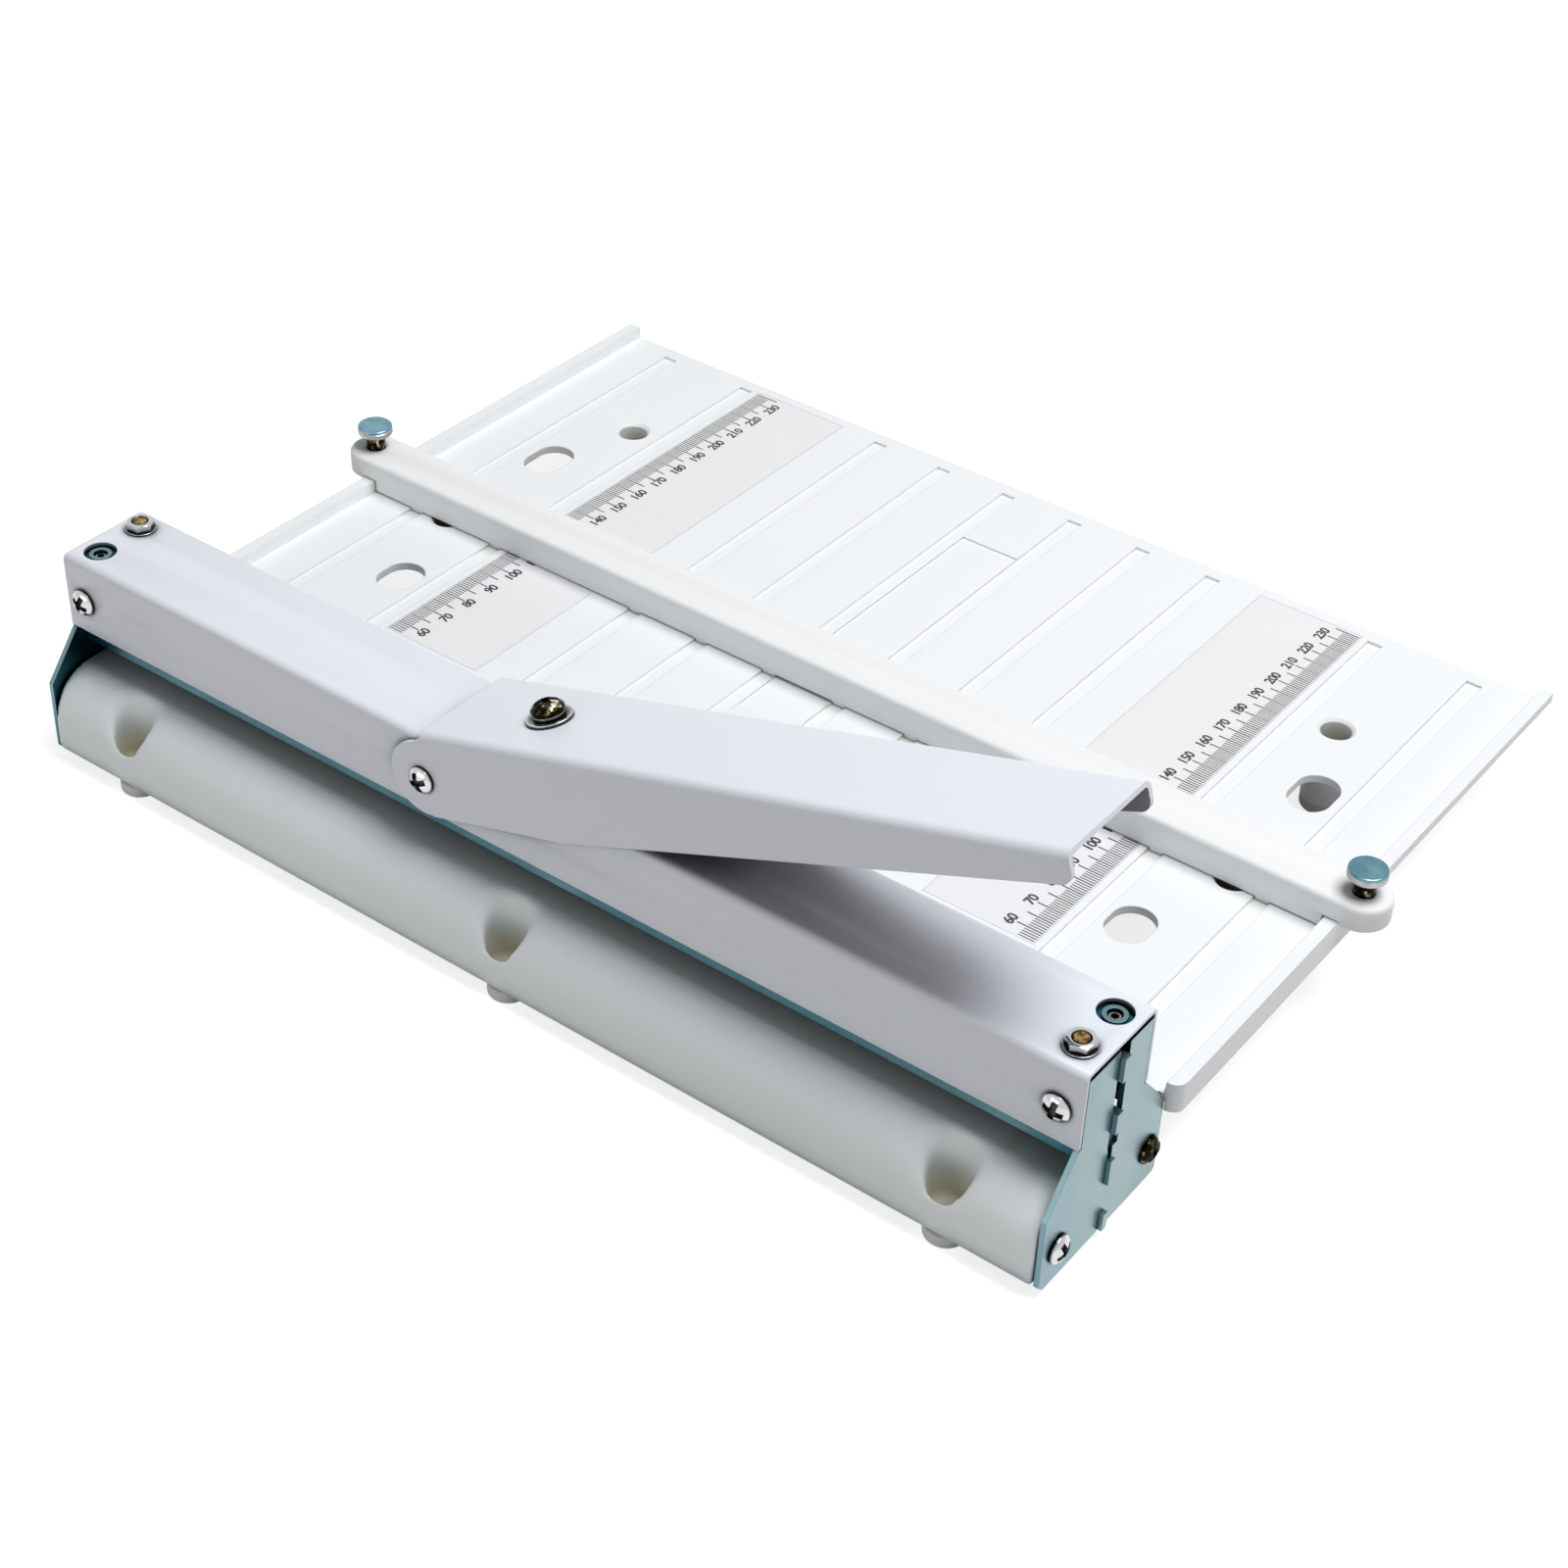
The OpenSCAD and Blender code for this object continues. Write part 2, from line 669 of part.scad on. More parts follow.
module bed() {
    color(white) place() difference() {
        union() {
            span([-tongue_half_w, tongue_front, -bed_t], [tongue_half_w, wide_front + corner_r, 0]);
            intersection() {
                union() {
                    span([rail_w - bed_half_w, wide_front, -bed_t], [bed_half_w - rail_w, bed_back, 0]);
                    both_ends() {
                        along_y(wide_front, bed_back) rail_section();
                        span([bed_half_w - bed_edge_in - over, wide_front, skirt_z],
                             [bed_half_w, skirt_end, rail_under_z]);
                    }
                }
                translate([0, 0, skirt_z - over])
                    linear_extrude(rail_h - skirt_z + 2 * over) wide_plan(bed_half_w);
            }
            bed_ribs();
            // hollow legs
            for (s = [-1, 1], p = leg_spots) translate([s * p.x, p.y, leg_low_z])
                cylinder(r = leg_r, h = -leg_low_z - bed_t / 2);
            // brackets that the end plates are screwed to
            both_ends() span([plate_in - boss_len, bed_screw_y - boss_r, bed_screw_z - boss_r],
                             [plate_in - slip_gap, wide_front - slip_gap, -bed_t]);
        }
        // long grooves
        both_ends() for (x = groove_xs)
            span([x - groove_w / 2, groove_front, -groove_d], [x + groove_w / 2, groove_back, over]);
        // seats of the ruler labels and of the name label
        both_ends() span([scale_in_x, scale_front, -scale_t], [scale_out_x, scale_back, over]);
        span([-name_half_w, name_front, -name_d], [name_half_w, name_back, over]);
        both_ends() {
            grip_hole(grip_front);
            grip_hole(grip_back);
        }
        for (s = [-1, 1], p = leg_spots) translate([s * p.x, p.y, 0]) {
            translate([0, 0, leg_low_z + leg_floor]) cylinder(r = leg_bore_r, h = stance);
            translate([0, 0, -leg_dish])
                cylinder(r1 = leg_bore_r, r2 = leg_bore_r + 2 * leg_dish, h = 2 * leg_dish);
            translate([0, 0, leg_low_z - over]) cylinder(r = leg_hole_r, h = stance);
            translate([0, 0, leg_low_z - over]) cylinder(r = foot_spigot_r + slip_gap / 2,
                                                         h = over + foot_spigot_h + slip_gap);
        }
        both_ends() from_right(bed_screw_y, bed_screw_z) translate([0, 0, -side_screw_len - over])
            cylinder(r = m4_r, h = side_screw_len + over);
    }
}

module ruler_scale() {
    span([scale_in_x + slip_gap, scale_front + slip_gap, -scale_t],
         [scale_out_x - slip_gap, scale_back - slip_gap, 0]);
}

module ruler_scale_left() {
    color(label) place() mirror([1, 0, 0]) ruler_scale();
}

module ruler_scale_right() {
    color(label) place() ruler_scale();
}

module beam_screws() {
    color(chrome) place() at_wall_screws() pan_screw(m4_r, m4_head_r, m4_head_h, wall_screw_len);
}

module shroud_screws() {
    color(chrome) place() both_ends() from_right(shroud_screw_y, shroud_screw_z)
        pan_screw(m4_r, m4_head_r, m4_head_h, side_screw_len);
}

module bed_screws() {
    color(chrome) place() both_ends() from_right(bed_screw_y, bed_screw_z)
        pan_screw(m4_r, m4_head_r, m4_head_h, side_screw_len);
}

// Places children at the guide bolts, at height z
module at_guides(z) {
    for (s = [-1, 1]) translate([end_spot(s, -1).x, end_spot(s, -1).y, z]) children();
}

module guide_bolts() {
    nut_top_z = beam_top_z + guide_washer_t + guide_nut_h;
    color(brass) place() at_guides(bolt_head_z) {
        hexagon(m4_af, m4_head_h);
        cylinder(r = m4_r, h = nut_top_z + nut_stick_out - bolt_head_z);
    }
}

module guide_washers() {
    color(zinc) place() at_guides(beam_top_z) difference() {
        cylinder(r = m4_washer_r, h = guide_washer_t);
        translate([0, 0, -over]) cylinder(r = m4_r + slip_gap, h = guide_washer_t + 2 * over);
    }
}

module guide_nuts() {
    color(chrome) place() at_guides(beam_top_z + guide_washer_t) difference() {
        hexagon(m4_af, guide_nut_h);
        translate([0, 0, -over]) cylinder(r = m4_r, h = guide_nut_h + 2 * over);
    }
}

// The return springs stand round the guide bolts, between the heads and the press channel
module return_springs() {
    low_z = bolt_head_z + m4_head_h;
    len = press_top_z - press_t - low_z;
    color(chrome) place() at_guides(low_z) difference() {
        cylinder(r = spring_r, h = len);
        translate([0, 0, -over]) cylinder(r = spring_r - spring_wire, h = len + 2 * over);
    }
}

module press_channel() {
    nut_half = m4_af / sqrt(3) + touch_gap;
    color(zinc) place() difference() {
        union() {
            along_x(-press_half_len, press_half_len) translate([beam_y, press_top_z])
                channel_section(2 * press_half_w, press_h, press_t, beam_bend_r);
            for (s = [-1, 1]) translate([end_spot(s, 1).x, end_spot(s, 1).y, press_top_z - press_t])
                cylinder(r = rim_r, h = press_t + rim_h);
        }
        // the flanges are cut back at each end, above a strip that runs to the end plates
        both_ends()
            span([press_half_len - press_end_len, beam_y - press_half_w - over, press_low_z + press_strip],
                 [press_half_len + over, beam_y + press_half_w + over, press_top_z - press_t]);
        // windows for the pivot nuts
        span([-pivot_x - nut_half, beam_y - press_half_w - over, pivot_z - nut_half],
             [nut_half - pivot_x, beam_y + press_half_w + over, press_top_z - press_t - beam_bend_r]);
        for (s = [-1, 1]) {
            translate([end_spot(s, 1).x, end_spot(s, 1).y, press_low_z])
                cylinder(r = m4_r, h = press_h + rim_h + over);
            translate([end_spot(s, -1).x, end_spot(s, -1).y, press_low_z])
                cylinder(r = m4_clear_r, h = press_h + over);
        }
        for (i = [0 : blade_tabs - 1])
            translate([blade_tab_x(i) - blade_tab_len / 2 - slip_gap,
                       blade_y - blade_t / 2 - slip_gap / 2, press_top_z - press_t - over])
                cube([blade_tab_len + 2 * slip_gap, blade_t + slip_gap, press_t + 2 * over]);
    }
}

function blade_tab_x(i) = (i - (blade_tabs - 1) / 2) * blade_tab_pitch;

module crease_blade() {
    top_z = press_top_z - press_t;
    color(zinc) place() {
        span([-press_half_len, blade_y - blade_t / 2, blade_rest_z + nose_h],
             [press_half_len, blade_y + blade_t / 2, top_z]);
        along_x(-press_half_len, press_half_len) translate([blade_y, blade_rest_z]) {
            translate([-nose_w / 2, nose_w / 2]) square([nose_w, nose_h]);
            translate([0, nose_w / 2]) circle(nose_w / 2);
        }
        for (ear = [ear_high, ear_low])
            span([-plate_x - ear_out, blade_y - blade_t / 2, ear[0]],
                 [plate_x + ear_out, blade_y + blade_t / 2, ear[1]]);
        for (i = [0 : blade_tabs - 1])
            translate([blade_tab_x(i) - blade_tab_len / 2, blade_y - blade_t / 2, top_z - over])
                cube([blade_tab_len, blade_t, press_t + over]);
    }
}

module depth_screws() {
    socket_r = m4_r / 2;
    color(zinc) place() for (s = [-1, 1])
        translate([end_spot(s, 1).x, end_spot(s, 1).y, depth_screw_z]) difference() {
            cylinder(r = m4_r, h = press_top_z - depth_screw_z);
            translate([0, 0, press_top_z - depth_screw_z - m4_r])
                cylinder(r = socket_r, h = m4_r + over, $fn = 6);
        }
}

// Puts a part drawn along the lever, from its pivot, at the rest angle
module on_lever() {
    place() translate([-pivot_x, beam_y, pivot_z]) rotate([0, -lever_rest, 0]) children();
}

// Side view of the lever: distance from the pivot, height over the pivot
module lever_side() {
    circle(lever_boss_r);
    polygon([
        [0, lever_low], [lever_knee_s, lever_low], [lever_len - lever_tip_r, lever_tip_p],
        [lever_len, lever_tip_p + lever_tip_r], [lever_len, lever_rise],
        [lever_plate_s, lever_rise], [lever_plate_s, lever_rise - lever_t], [0, lever_boss_r]
    ]);
    translate([lever_len - lever_tip_r, lever_tip_p + lever_tip_r]) circle(lever_tip_r);
}

module lever() {
    outer_half = lever_half + lever_t;
    color(paint) on_lever() difference() {
        intersection() {
            along_y(-outer_half, outer_half) lever_side();
            along_x(-lever_boss_r, lever_len) translate([0, lever_rise])
                channel_section(2 * outer_half, 2 * lever_rise, lever_t, lever_bend_r);
        }
        rotate([90, 0, 0]) translate([0, 0, -outer_half - over])
            cylinder(r = shoulder_r + run_gap, h = 2 * (outer_half + over));
        translate([push_at, 0, lever_rise - lever_t - over])
            cylinder(r = m5_r + slip_gap, h = lever_t + 2 * over);
    }
}

module lever_pivot_screws() {
    shoulder = touch_gap + lever_t + slip_gap;
    color(chrome) place() at_pivots(beam_w / 2) {
        translate([0, 0, shoulder]) pan_head(m4_head_r, m4_head_h);
        cylinder(r = shoulder_r, h = shoulder);
        translate([0, 0, -beam_t - m4_nut_h]) cylinder(r = m4_r, h = beam_t + m4_nut_h);
    }
}

module lever_pivot_nuts() {
    color(chrome) place() at_pivots(beam_half_in) translate([0, 0, -m4_nut_h]) difference() {
        hexagon(m4_af, m4_nut_h);
        translate([0, 0, -over]) cylinder(r = m4_r, h = m4_nut_h + 2 * over);
    }
}

// Stack on the lever's top face at the push screw, at height h over it
module on_push(h) {
    on_lever() translate([push_at, 0, lever_rise + h]) children();
}

module push_screw() {
    stack = m5_washer_t + m5_lock_t;
    color(chrome) on_push(stack) pan_screw(m5_r, m5_head_r, m5_head_h, stack + lever_t + m5_head_r);
}

module push_spring_washer() {
    cut = 1;
    color(chrome) on_push(m5_washer_t) difference() {
        cylinder(r = m5_lock_r, h = m5_lock_t);
        translate([0, 0, -over]) cylinder(r = m5_r + slip_gap, h = m5_lock_t + 2 * over);
        rotate(45) translate([0, -cut / 2, -over]) cube([m5_lock_r + over, cut, m5_lock_t + 2 * over]);
    }
}

module push_washer() {
    color(zinc) on_push(0) difference() {
        cylinder(r = m5_washer_r, h = m5_washer_t);
        translate([0, 0, -over]) cylinder(r = m5_r + slip_gap, h = m5_washer_t + 2 * over);
    }
}

// Crowned pad that carries the push of the lever to the press channel
module push_pad() {
    top = lever_rise - lever_t;
    low = pad_ball_p - pad_ball_r;
    color(black) on_lever() translate([push_at, 0, 0]) difference() {
        intersection() {
            translate([0, 0, low]) cylinder(r = pad_r, h = top - low);
            translate([0, 0, pad_ball_p]) {
                sphere(pad_ball_r);
                cylinder(r = pad_ball_r, h = top - pad_ball_p);
            }
        }
        translate([0, 0, top - m5_head_r]) cylinder(r = m5_r, h = m5_head_r + over);
    }
}

// Section of the fence in Y and Z about its middle, from its underside
module fence_section() {
    translate([0, fence_h]) round_top(fence_w, fence_h - fence_rest_gap, fence_round);
}

module fence() {
    rail_room = bed_half_w + touch_gap;
    color(white) place() difference() {
        union() {
            translate([0, fence_mid_y, 0]) along_x(-fence_screw_x, fence_screw_x) fence_section();
            for (s = [-1, 1]) translate([s * fence_screw_x, fence_mid_y, 0]) rotate_extrude()
                intersection() {
                    fence_section();
                    square([fence_w, 2 * fence_h]);
                }
            // teeth that run in the grooves of the bed
            both_ends() for (x = groove_xs)
                span([x - tooth_w / 2, fence_at, tooth_gap - groove_d],
                     [x + tooth_w / 2, fence_at + tooth_len, fence_rest_gap + fence_wall]);
        }
        // room over the rails and outboard of them
        both_ends() {
            span([fence_step_x, fence_at - over, -over],
                 [rail_room, fence_at + fence_w + over, rail_h + touch_gap]);
            span([rail_room - over, fence_at - over, -over],
                 [fence_screw_x + fence_w, fence_at + fence_w + over, fence_wing_z]);
            translate([fence_screw_x, fence_mid_y, -over])
                cylinder(r = thumb_shank_d / 2 + run_gap, h = fence_h + 2 * over);
            // hollow underside between the ribs
            for (i = [0 : len(fence_ribs) - 2])
                span([fence_ribs[i] + fence_wall / 2, fence_at + tooth_len + slip_gap, -over],
                     [fence_ribs[i + 1] - fence_wall / 2, fence_at + fence_w - fence_wall,
                      fence_h - fence_wall]);
        }
    }
}

module thumb_screw() {
    neck_top = fence_h + thumb_neck;
    bevel = thumb_t * thumb_bevel_share;
    shank_low = rail_h + fence_rest_gap;
    cam_low = rail_under_z;
    rotate_extrude() polygon([
        [0, neck_top], [thumb_shank_d / 2, neck_top], [thumb_d / 2 - bevel, neck_top],
        [thumb_d / 2, neck_top + bevel], [thumb_d / 2, neck_top + thumb_t - bevel],
        [thumb_d / 2 - bevel, neck_top + thumb_t], [0, neck_top + thumb_t]
    ]);
    translate([0, 0, shank_low]) cylinder(r = thumb_shank_d / 2, h = neck_top - shank_low);
    // eccentric pin that grips the rail when the screw is turned
    translate([cam_off, 0, cam_low]) cylinder(r = cam_r, h = shank_low - cam_low);
}

module thumb_screw_left() {
    color(zinc) place() translate([-fence_screw_x, fence_mid_y, 0]) mirror([1, 0, 0]) thumb_screw();
}

module thumb_screw_right() {
    color(zinc) place() translate([fence_screw_x, fence_mid_y, 0]) thumb_screw();
}

beam();
side_plate_left();
side_plate_right();
anvil();
front_shroud();
bed();
ruler_scale_left();
ruler_scale_right();
front_feet();
rear_feet();
beam_screws();
shroud_screws();
bed_screws();
guide_bolts();
guide_washers();
guide_nuts();
return_springs();
press_channel();
crease_blade();
depth_screws();
lever();
lever_pivot_screws();
lever_pivot_nuts();
push_screw();
push_spring_washer();
push_washer();
push_pad();
fence();
thumb_screw_left();
thumb_screw_right();
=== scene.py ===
"""Looks of a desktop paper creasing machine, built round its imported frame.

Lengths are in millimetres in the machine's own axes: x along the beam, y the reading of the rulers,
z over the bed's top. at() turns such a point into the frame's metres.
"""

import math

import bmesh
import bpy
from mathutils import Matrix, Vector


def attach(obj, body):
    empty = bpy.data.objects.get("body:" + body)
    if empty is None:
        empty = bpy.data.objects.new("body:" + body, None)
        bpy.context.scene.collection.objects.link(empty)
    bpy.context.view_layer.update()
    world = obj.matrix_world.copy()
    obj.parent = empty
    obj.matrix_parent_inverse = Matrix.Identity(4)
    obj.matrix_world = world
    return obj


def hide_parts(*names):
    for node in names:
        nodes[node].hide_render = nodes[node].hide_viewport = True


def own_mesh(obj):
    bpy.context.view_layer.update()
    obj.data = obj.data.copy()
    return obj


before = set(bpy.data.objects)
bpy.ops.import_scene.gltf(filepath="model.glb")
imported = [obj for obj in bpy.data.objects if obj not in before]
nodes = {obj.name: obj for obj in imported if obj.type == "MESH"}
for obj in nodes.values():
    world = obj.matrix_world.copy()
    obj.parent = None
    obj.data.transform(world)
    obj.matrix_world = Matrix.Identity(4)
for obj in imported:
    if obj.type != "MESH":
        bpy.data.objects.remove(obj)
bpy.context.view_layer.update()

MM = 0.001
MACHINE_ORIGIN = Vector((0, -107, 27))
UP = Vector((0, 0, 1))

# Lines of the machine that the pieces share
BEAM_Y = 1.1
BEAM_HALF_W = 15.4
BEAM_TOP = 37
PLATE_X = 168.75
FENCE_TOP = 10.3
LEVER_PIVOT = Vector((-32, BEAM_Y, 25.1))
LEVER_REST = math.radians(16.9)
LEVER_RISE = 13.9
PUSH_AT = 34.9


def at(x, y, z):
    """A point of the machine in the frame's metres."""
    return (Vector((x, y, z)) + MACHINE_ORIGIN) * MM


def seat(point, axis, turn=0.0):
    """Matrix that sets a piece made in millimetres along +Z on a machine point, facing axis."""
    facing = Vector(axis).normalized().to_track_quat("Z", "Y").to_matrix().to_4x4()
    spin = Matrix.Rotation(turn, 4, "Z")
    return Matrix.Translation(at(*point)) @ facing @ spin @ Matrix.Scale(MM, 4)


# Materials. Their painted shade multiplies the colour by a ramp of how open a point is, and OPEN leaves it
# as it is

OPEN = (1, 1, 1)
WELL_ATTRIBUTE = "well"
PLASTIC_ROUND = 0.5
INNER_FROM = 4


class Shader:
    """A principled material with short calls for the nodes that vary its finish and paint shade into its
    colour.
    """

    def __init__(self, name, color, roughness, metallic=0.0, **sockets):
        self.material = bpy.data.materials.new(name)
        self.material.use_nodes = True
        self.tree = self.material.node_tree
        self.main = self.tree.nodes["Principled BSDF"]
        self.set("Base Color", (*color, 1))
        self.set("Roughness", roughness)
        self.set("Metallic", metallic)
        for socket, value in sockets.items():
            self.set(socket.replace("_", " "), value)
        self.coords = self.node("ShaderNodeTexCoord").outputs["Object"]

    def set(self, socket, value):
        self.main.inputs[socket].default_value = value

    def node(self, kind, **values):
        made = self.tree.nodes.new(kind)
        for key, value in values.items():
            setattr(made, key, value)
        return made

    def link(self, a, b):
        self.tree.links.new(a, b)

    def noise(self, scale, stretch=(1, 1, 1), detail=3.0, rough=0.55):
        """Noise of about 1 / scale metres, stretched along an axis by a share below 1."""
        mapping = self.node("ShaderNodeMapping")
        mapping.inputs["Scale"].default_value = stretch
        self.link(self.coords, mapping.inputs["Vector"])
        noise = self.node("ShaderNodeTexNoise")
        noise.inputs["Scale"].default_value = scale
        noise.inputs["Detail"].default_value = detail
        noise.inputs["Roughness"].default_value = rough
        self.link(mapping.outputs["Vector"], noise.inputs["Vector"])
        return noise.outputs["Fac"]

    def ramp(self, factor, stops):
        ramp = self.node("ShaderNodeValToRGB")
        elements = ramp.color_ramp.elements
        while len(elements) < len(stops):
            elements.new(0.5)
        for element, (place, color) in zip(elements, stops):
            element.position = place
            element.color = (*color, 1)
        self.link(factor, ramp.inputs["Fac"])
        return ramp.outputs["Color"]

    def mix(self, factor, a, b, blend="MIX"):
        """Mixes two colour outputs; the factor is an output as well, or a number."""
        mix = self.node("ShaderNodeMix", data_type="RGBA", blend_type=blend)
        sockets = {s.identifier: s for s in mix.inputs}
        if isinstance(factor, float):
            sockets["Factor_Float"].default_value = factor
        else:
            self.link(factor, sockets["Factor_Float"])
        self.link(a, sockets["A_Color"])
        self.link(b, sockets["B_Color"])
        return {s.identifier: s for s in mix.outputs}["Result_Color"]

    def openness(self, reach_mm):
        """How open a point is within a reach, for painted shade: 0 in a deep hole, 1 in the open."""
        sky = self.node("ShaderNodeAmbientOcclusion", samples=8)
        sky.inputs["Distance"].default_value = reach_mm * MM
        return sky.outputs["AO"]

    def vary_color(self, factor, stops, *nears):
        """Colour by a ramp, times the painted shade of each (reach_mm, ramp) of how open a point is within
        that reach.
        """
        color = self.ramp(factor, stops)
        for reach_mm, near in nears:
            color = self.mix(1.0, color, self.ramp(self.openness(reach_mm), near), "MULTIPLY")
        self.link(color, self.main.inputs["Base Color"])

    def vary_roughness(self, factor, low, high):
        spread = self.node("ShaderNodeMapRange")
        spread.inputs["To Min"].default_value = low
        spread.inputs["To Max"].default_value = high
        self.link(factor, spread.inputs["Value"])
        self.link(spread.outputs["Result"], self.main.inputs["Roughness"])

    def round_edges(self, radius_mm):
        """Makes the edges look rounded, with no change to the mesh."""
        soft = self.node("ShaderNodeBevel", samples=4)
        soft.inputs["Radius"].default_value = radius_mm * MM
        self.link(soft.outputs["Normal"], self.main.inputs["Normal"])
        return soft.outputs["Normal"]

    def shade_inner_walls(self, middle_y, share):
        """Paints shade on the walls that face the plane y = middle_y from INNER_FROM millimetres or more.
        """
        place = self.node("ShaderNodeSeparateXYZ")
        facing = self.node("ShaderNodeSeparateXYZ")
        self.link(self.coords, place.inputs["Vector"])
        self.link(self.node("ShaderNodeNewGeometry").outputs["True Normal"], facing.inputs["Vector"])
        off = self.node("ShaderNodeMath", operation="SUBTRACT")
        off.inputs[1].default_value = middle_y
        self.link(place.outputs["Y"], off.inputs[0])
        outward = self.node("ShaderNodeMath", operation="MULTIPLY")
        self.link(off.outputs["Value"], outward.inputs[0])
        self.link(facing.outputs["Y"], outward.inputs[1])
        inner = self.node("ShaderNodeMath", operation="LESS_THAN")
        inner.inputs[1].default_value = -INNER_FROM * MM
        self.link(outward.outputs["Value"], inner.inputs[0])
        shade = self.ramp(inner.outputs["Value"], [(0.0, OPEN), (1.0, share)])
        color = self.main.inputs["Base Color"].links[0].from_socket
        self.link(self.mix(1.0, color, shade, "MULTIPLY"), self.main.inputs["Base Color"])

    def bump(self, factor, depth_mm, round_mm=0.0):
        """Fine relief; round_mm makes the edges under it look rounded."""
        bump = self.node("ShaderNodeBump")
        if round_mm:
            self.link(self.round_edges(round_mm), bump.inputs["Normal"])
        bump.inputs["Distance"].default_value = depth_mm * MM
        self.link(factor, bump.inputs["Height"])
        self.link(bump.outputs["Normal"], self.main.inputs["Normal"])


def tint(color, share):
    """A colour times a share."""
    return tuple(c * share for c in color)


def lavender_paint(name, reach_mm, near, inner_walls=None):
    """Pale powder paint with painted shade; inner_walls is the painted shade of walls facing the beam's
    middle plane.
    """
    color = (0.80, 0.83, 0.895)
    s = Shader(name, color, 0.36, Specular_IOR_Level=0.45)
    stops = [(0.3, tint(color, 0.985)), (0.7, color)]
    s.vary_color(s.noise(14), stops, (reach_mm, near))
    s.vary_roughness(s.noise(40), 0.32, 0.42)
    s.bump(s.noise(900, detail=2), 0.006, round_mm=0.25)
    if inner_walls:
        s.shade_inner_walls(at(0, BEAM_Y, 0).y, inner_walls)
    return s.material


def zinc_plate(name, reach_mm, open_from=0.86):
    """Zinc plate with a teal to straw finish, and painted shade, darker and deeper teal, where it is less
    open than open_from.
    """
    teal = (0.135, 0.235, 0.27)
    grey = (0.185, 0.265, 0.285)
    straw = (0.225, 0.27, 0.26)
    s = Shader(name, teal, 0.27, metallic=1.0)
    stops = [(0.32, teal), (0.55, grey), (0.8, straw)]
    # Painted shade: darker, deeper teal in corners and beside other parts
    near = [(0.35, (0.04, 0.22, 0.30)), (open_from - 0.24, (0.09, 0.40, 0.50)), (open_from, OPEN)]
    s.vary_color(s.noise(38, (1, 1, 0.45), 5), stops, (reach_mm, near))
    s.vary_roughness(s.noise(90, (1, 0.25, 1), 3), 0.24, 0.32)
    s.round_edges(0.2)
    return s.material


def blue_zinc():
    """The brighter, bluer zinc of the thumb screws, with painted shade in its ribs and corners."""
    teal = (0.11, 0.25, 0.305)
    grey = (0.20, 0.36, 0.43)
    s = Shader("blue_zinc", teal, 0.2, metallic=1.0)
    near = [(0.4, (0.04, 0.06, 0.07)), (0.8, (0.4, 0.42, 0.43)), (0.98, OPEN)]
    s.vary_color(s.noise(120, detail=3), [(0.4, teal), (0.62, grey)], (2, near))
    s.vary_roughness(s.noise(500, detail=4), 0.12, 0.24)
    s.bump(s.noise(2500, detail=2), 0.008)
    return s.material


def white_plastic(name, color, *nears):
    s = Shader(name, color, 0.5, Specular_IOR_Level=0.4)
    # Each of nears paints shade by openness into the colour
    s.vary_color(s.noise(9), [(0.3, tint(color, 0.985)), (0.7, color)], *nears)
    s.vary_roughness(s.noise(60), 0.44, 0.56)
    s.bump(s.noise(2600, detail=2), 0.01, round_mm=PLASTIC_ROUND)
    return s.material


def shroud_plastic(reach_mm, painted_shade_under_beam, painted_shade_in_wells):
    """White plastic with painted shade by openness, one ramp under the beam and another in the wells, where
    the attribute is 1.
    """
    color = (0.92, 0.955, 0.97)
    s = Shader("shroud_plastic", color, 0.5, Specular_IOR_Level=0.4)
    well = s.node("ShaderNodeAttribute", attribute_name=WELL_ATTRIBUTE).outputs["Fac"]
    sky = s.openness(reach_mm)
    shade = s.mix(well, s.ramp(sky, painted_shade_under_beam), s.ramp(sky, painted_shade_in_wells))
    grain = s.ramp(s.noise(9), [(0.3, tint(color, 0.985)), (0.7, color)])
    s.link(s.mix(1.0, grain, shade, "MULTIPLY"), s.main.inputs["Base Color"])
    s.vary_roughness(s.noise(60), 0.44, 0.56)
    s.bump(s.noise(2600, detail=2), 0.01)
    return s.material


def scale_label():
    color = (0.85, 0.86, 0.875)
    s = Shader("scale_label", color, 0.42)
    s.vary_color(s.noise(25), [(0.3, tint(color, 0.98)), (0.7, color)])
    s.bump(s.noise(1800, detail=2), 0.004)
    return s.material


def print_ink():
    s = Shader("print_ink", (0.03, 0.03, 0.035), 0.45)
    s.vary_color(s.noise(700), [(0.3, (0.022, 0.022, 0.026)), (0.7, (0.05, 0.05, 0.055))])
    return s.material


def white_rubber():
    color = (0.80, 0.80, 0.79)
    s = Shader("white_rubber", color, 0.7, Specular_IOR_Level=0.3)
    s.vary_color(s.noise(60), [(0.3, tint(color, 0.96)), (0.7, color)])
    s.bump(s.noise(3000, detail=3), 0.02)
    return s.material


def screw_steel():
    color = (0.60, 0.61, 0.61)
    s = Shader("screw_steel", color, 0.12, metallic=1.0)
    stops = [(0.3, tint(color, 0.85)), (0.7, color)]
    # Painted shade, nearly black, in the cross recess and near the head's rim and seat
    near = [(0.5, (0.02, 0.02, 0.02)), (0.76, (0.22, 0.23, 0.24)), (0.97, OPEN)]
    s.vary_color(s.noise(260, detail=4), stops, (2.4, near))
    s.vary_roughness(s.noise(800, detail=4), 0.08, 0.2)
    return s.material


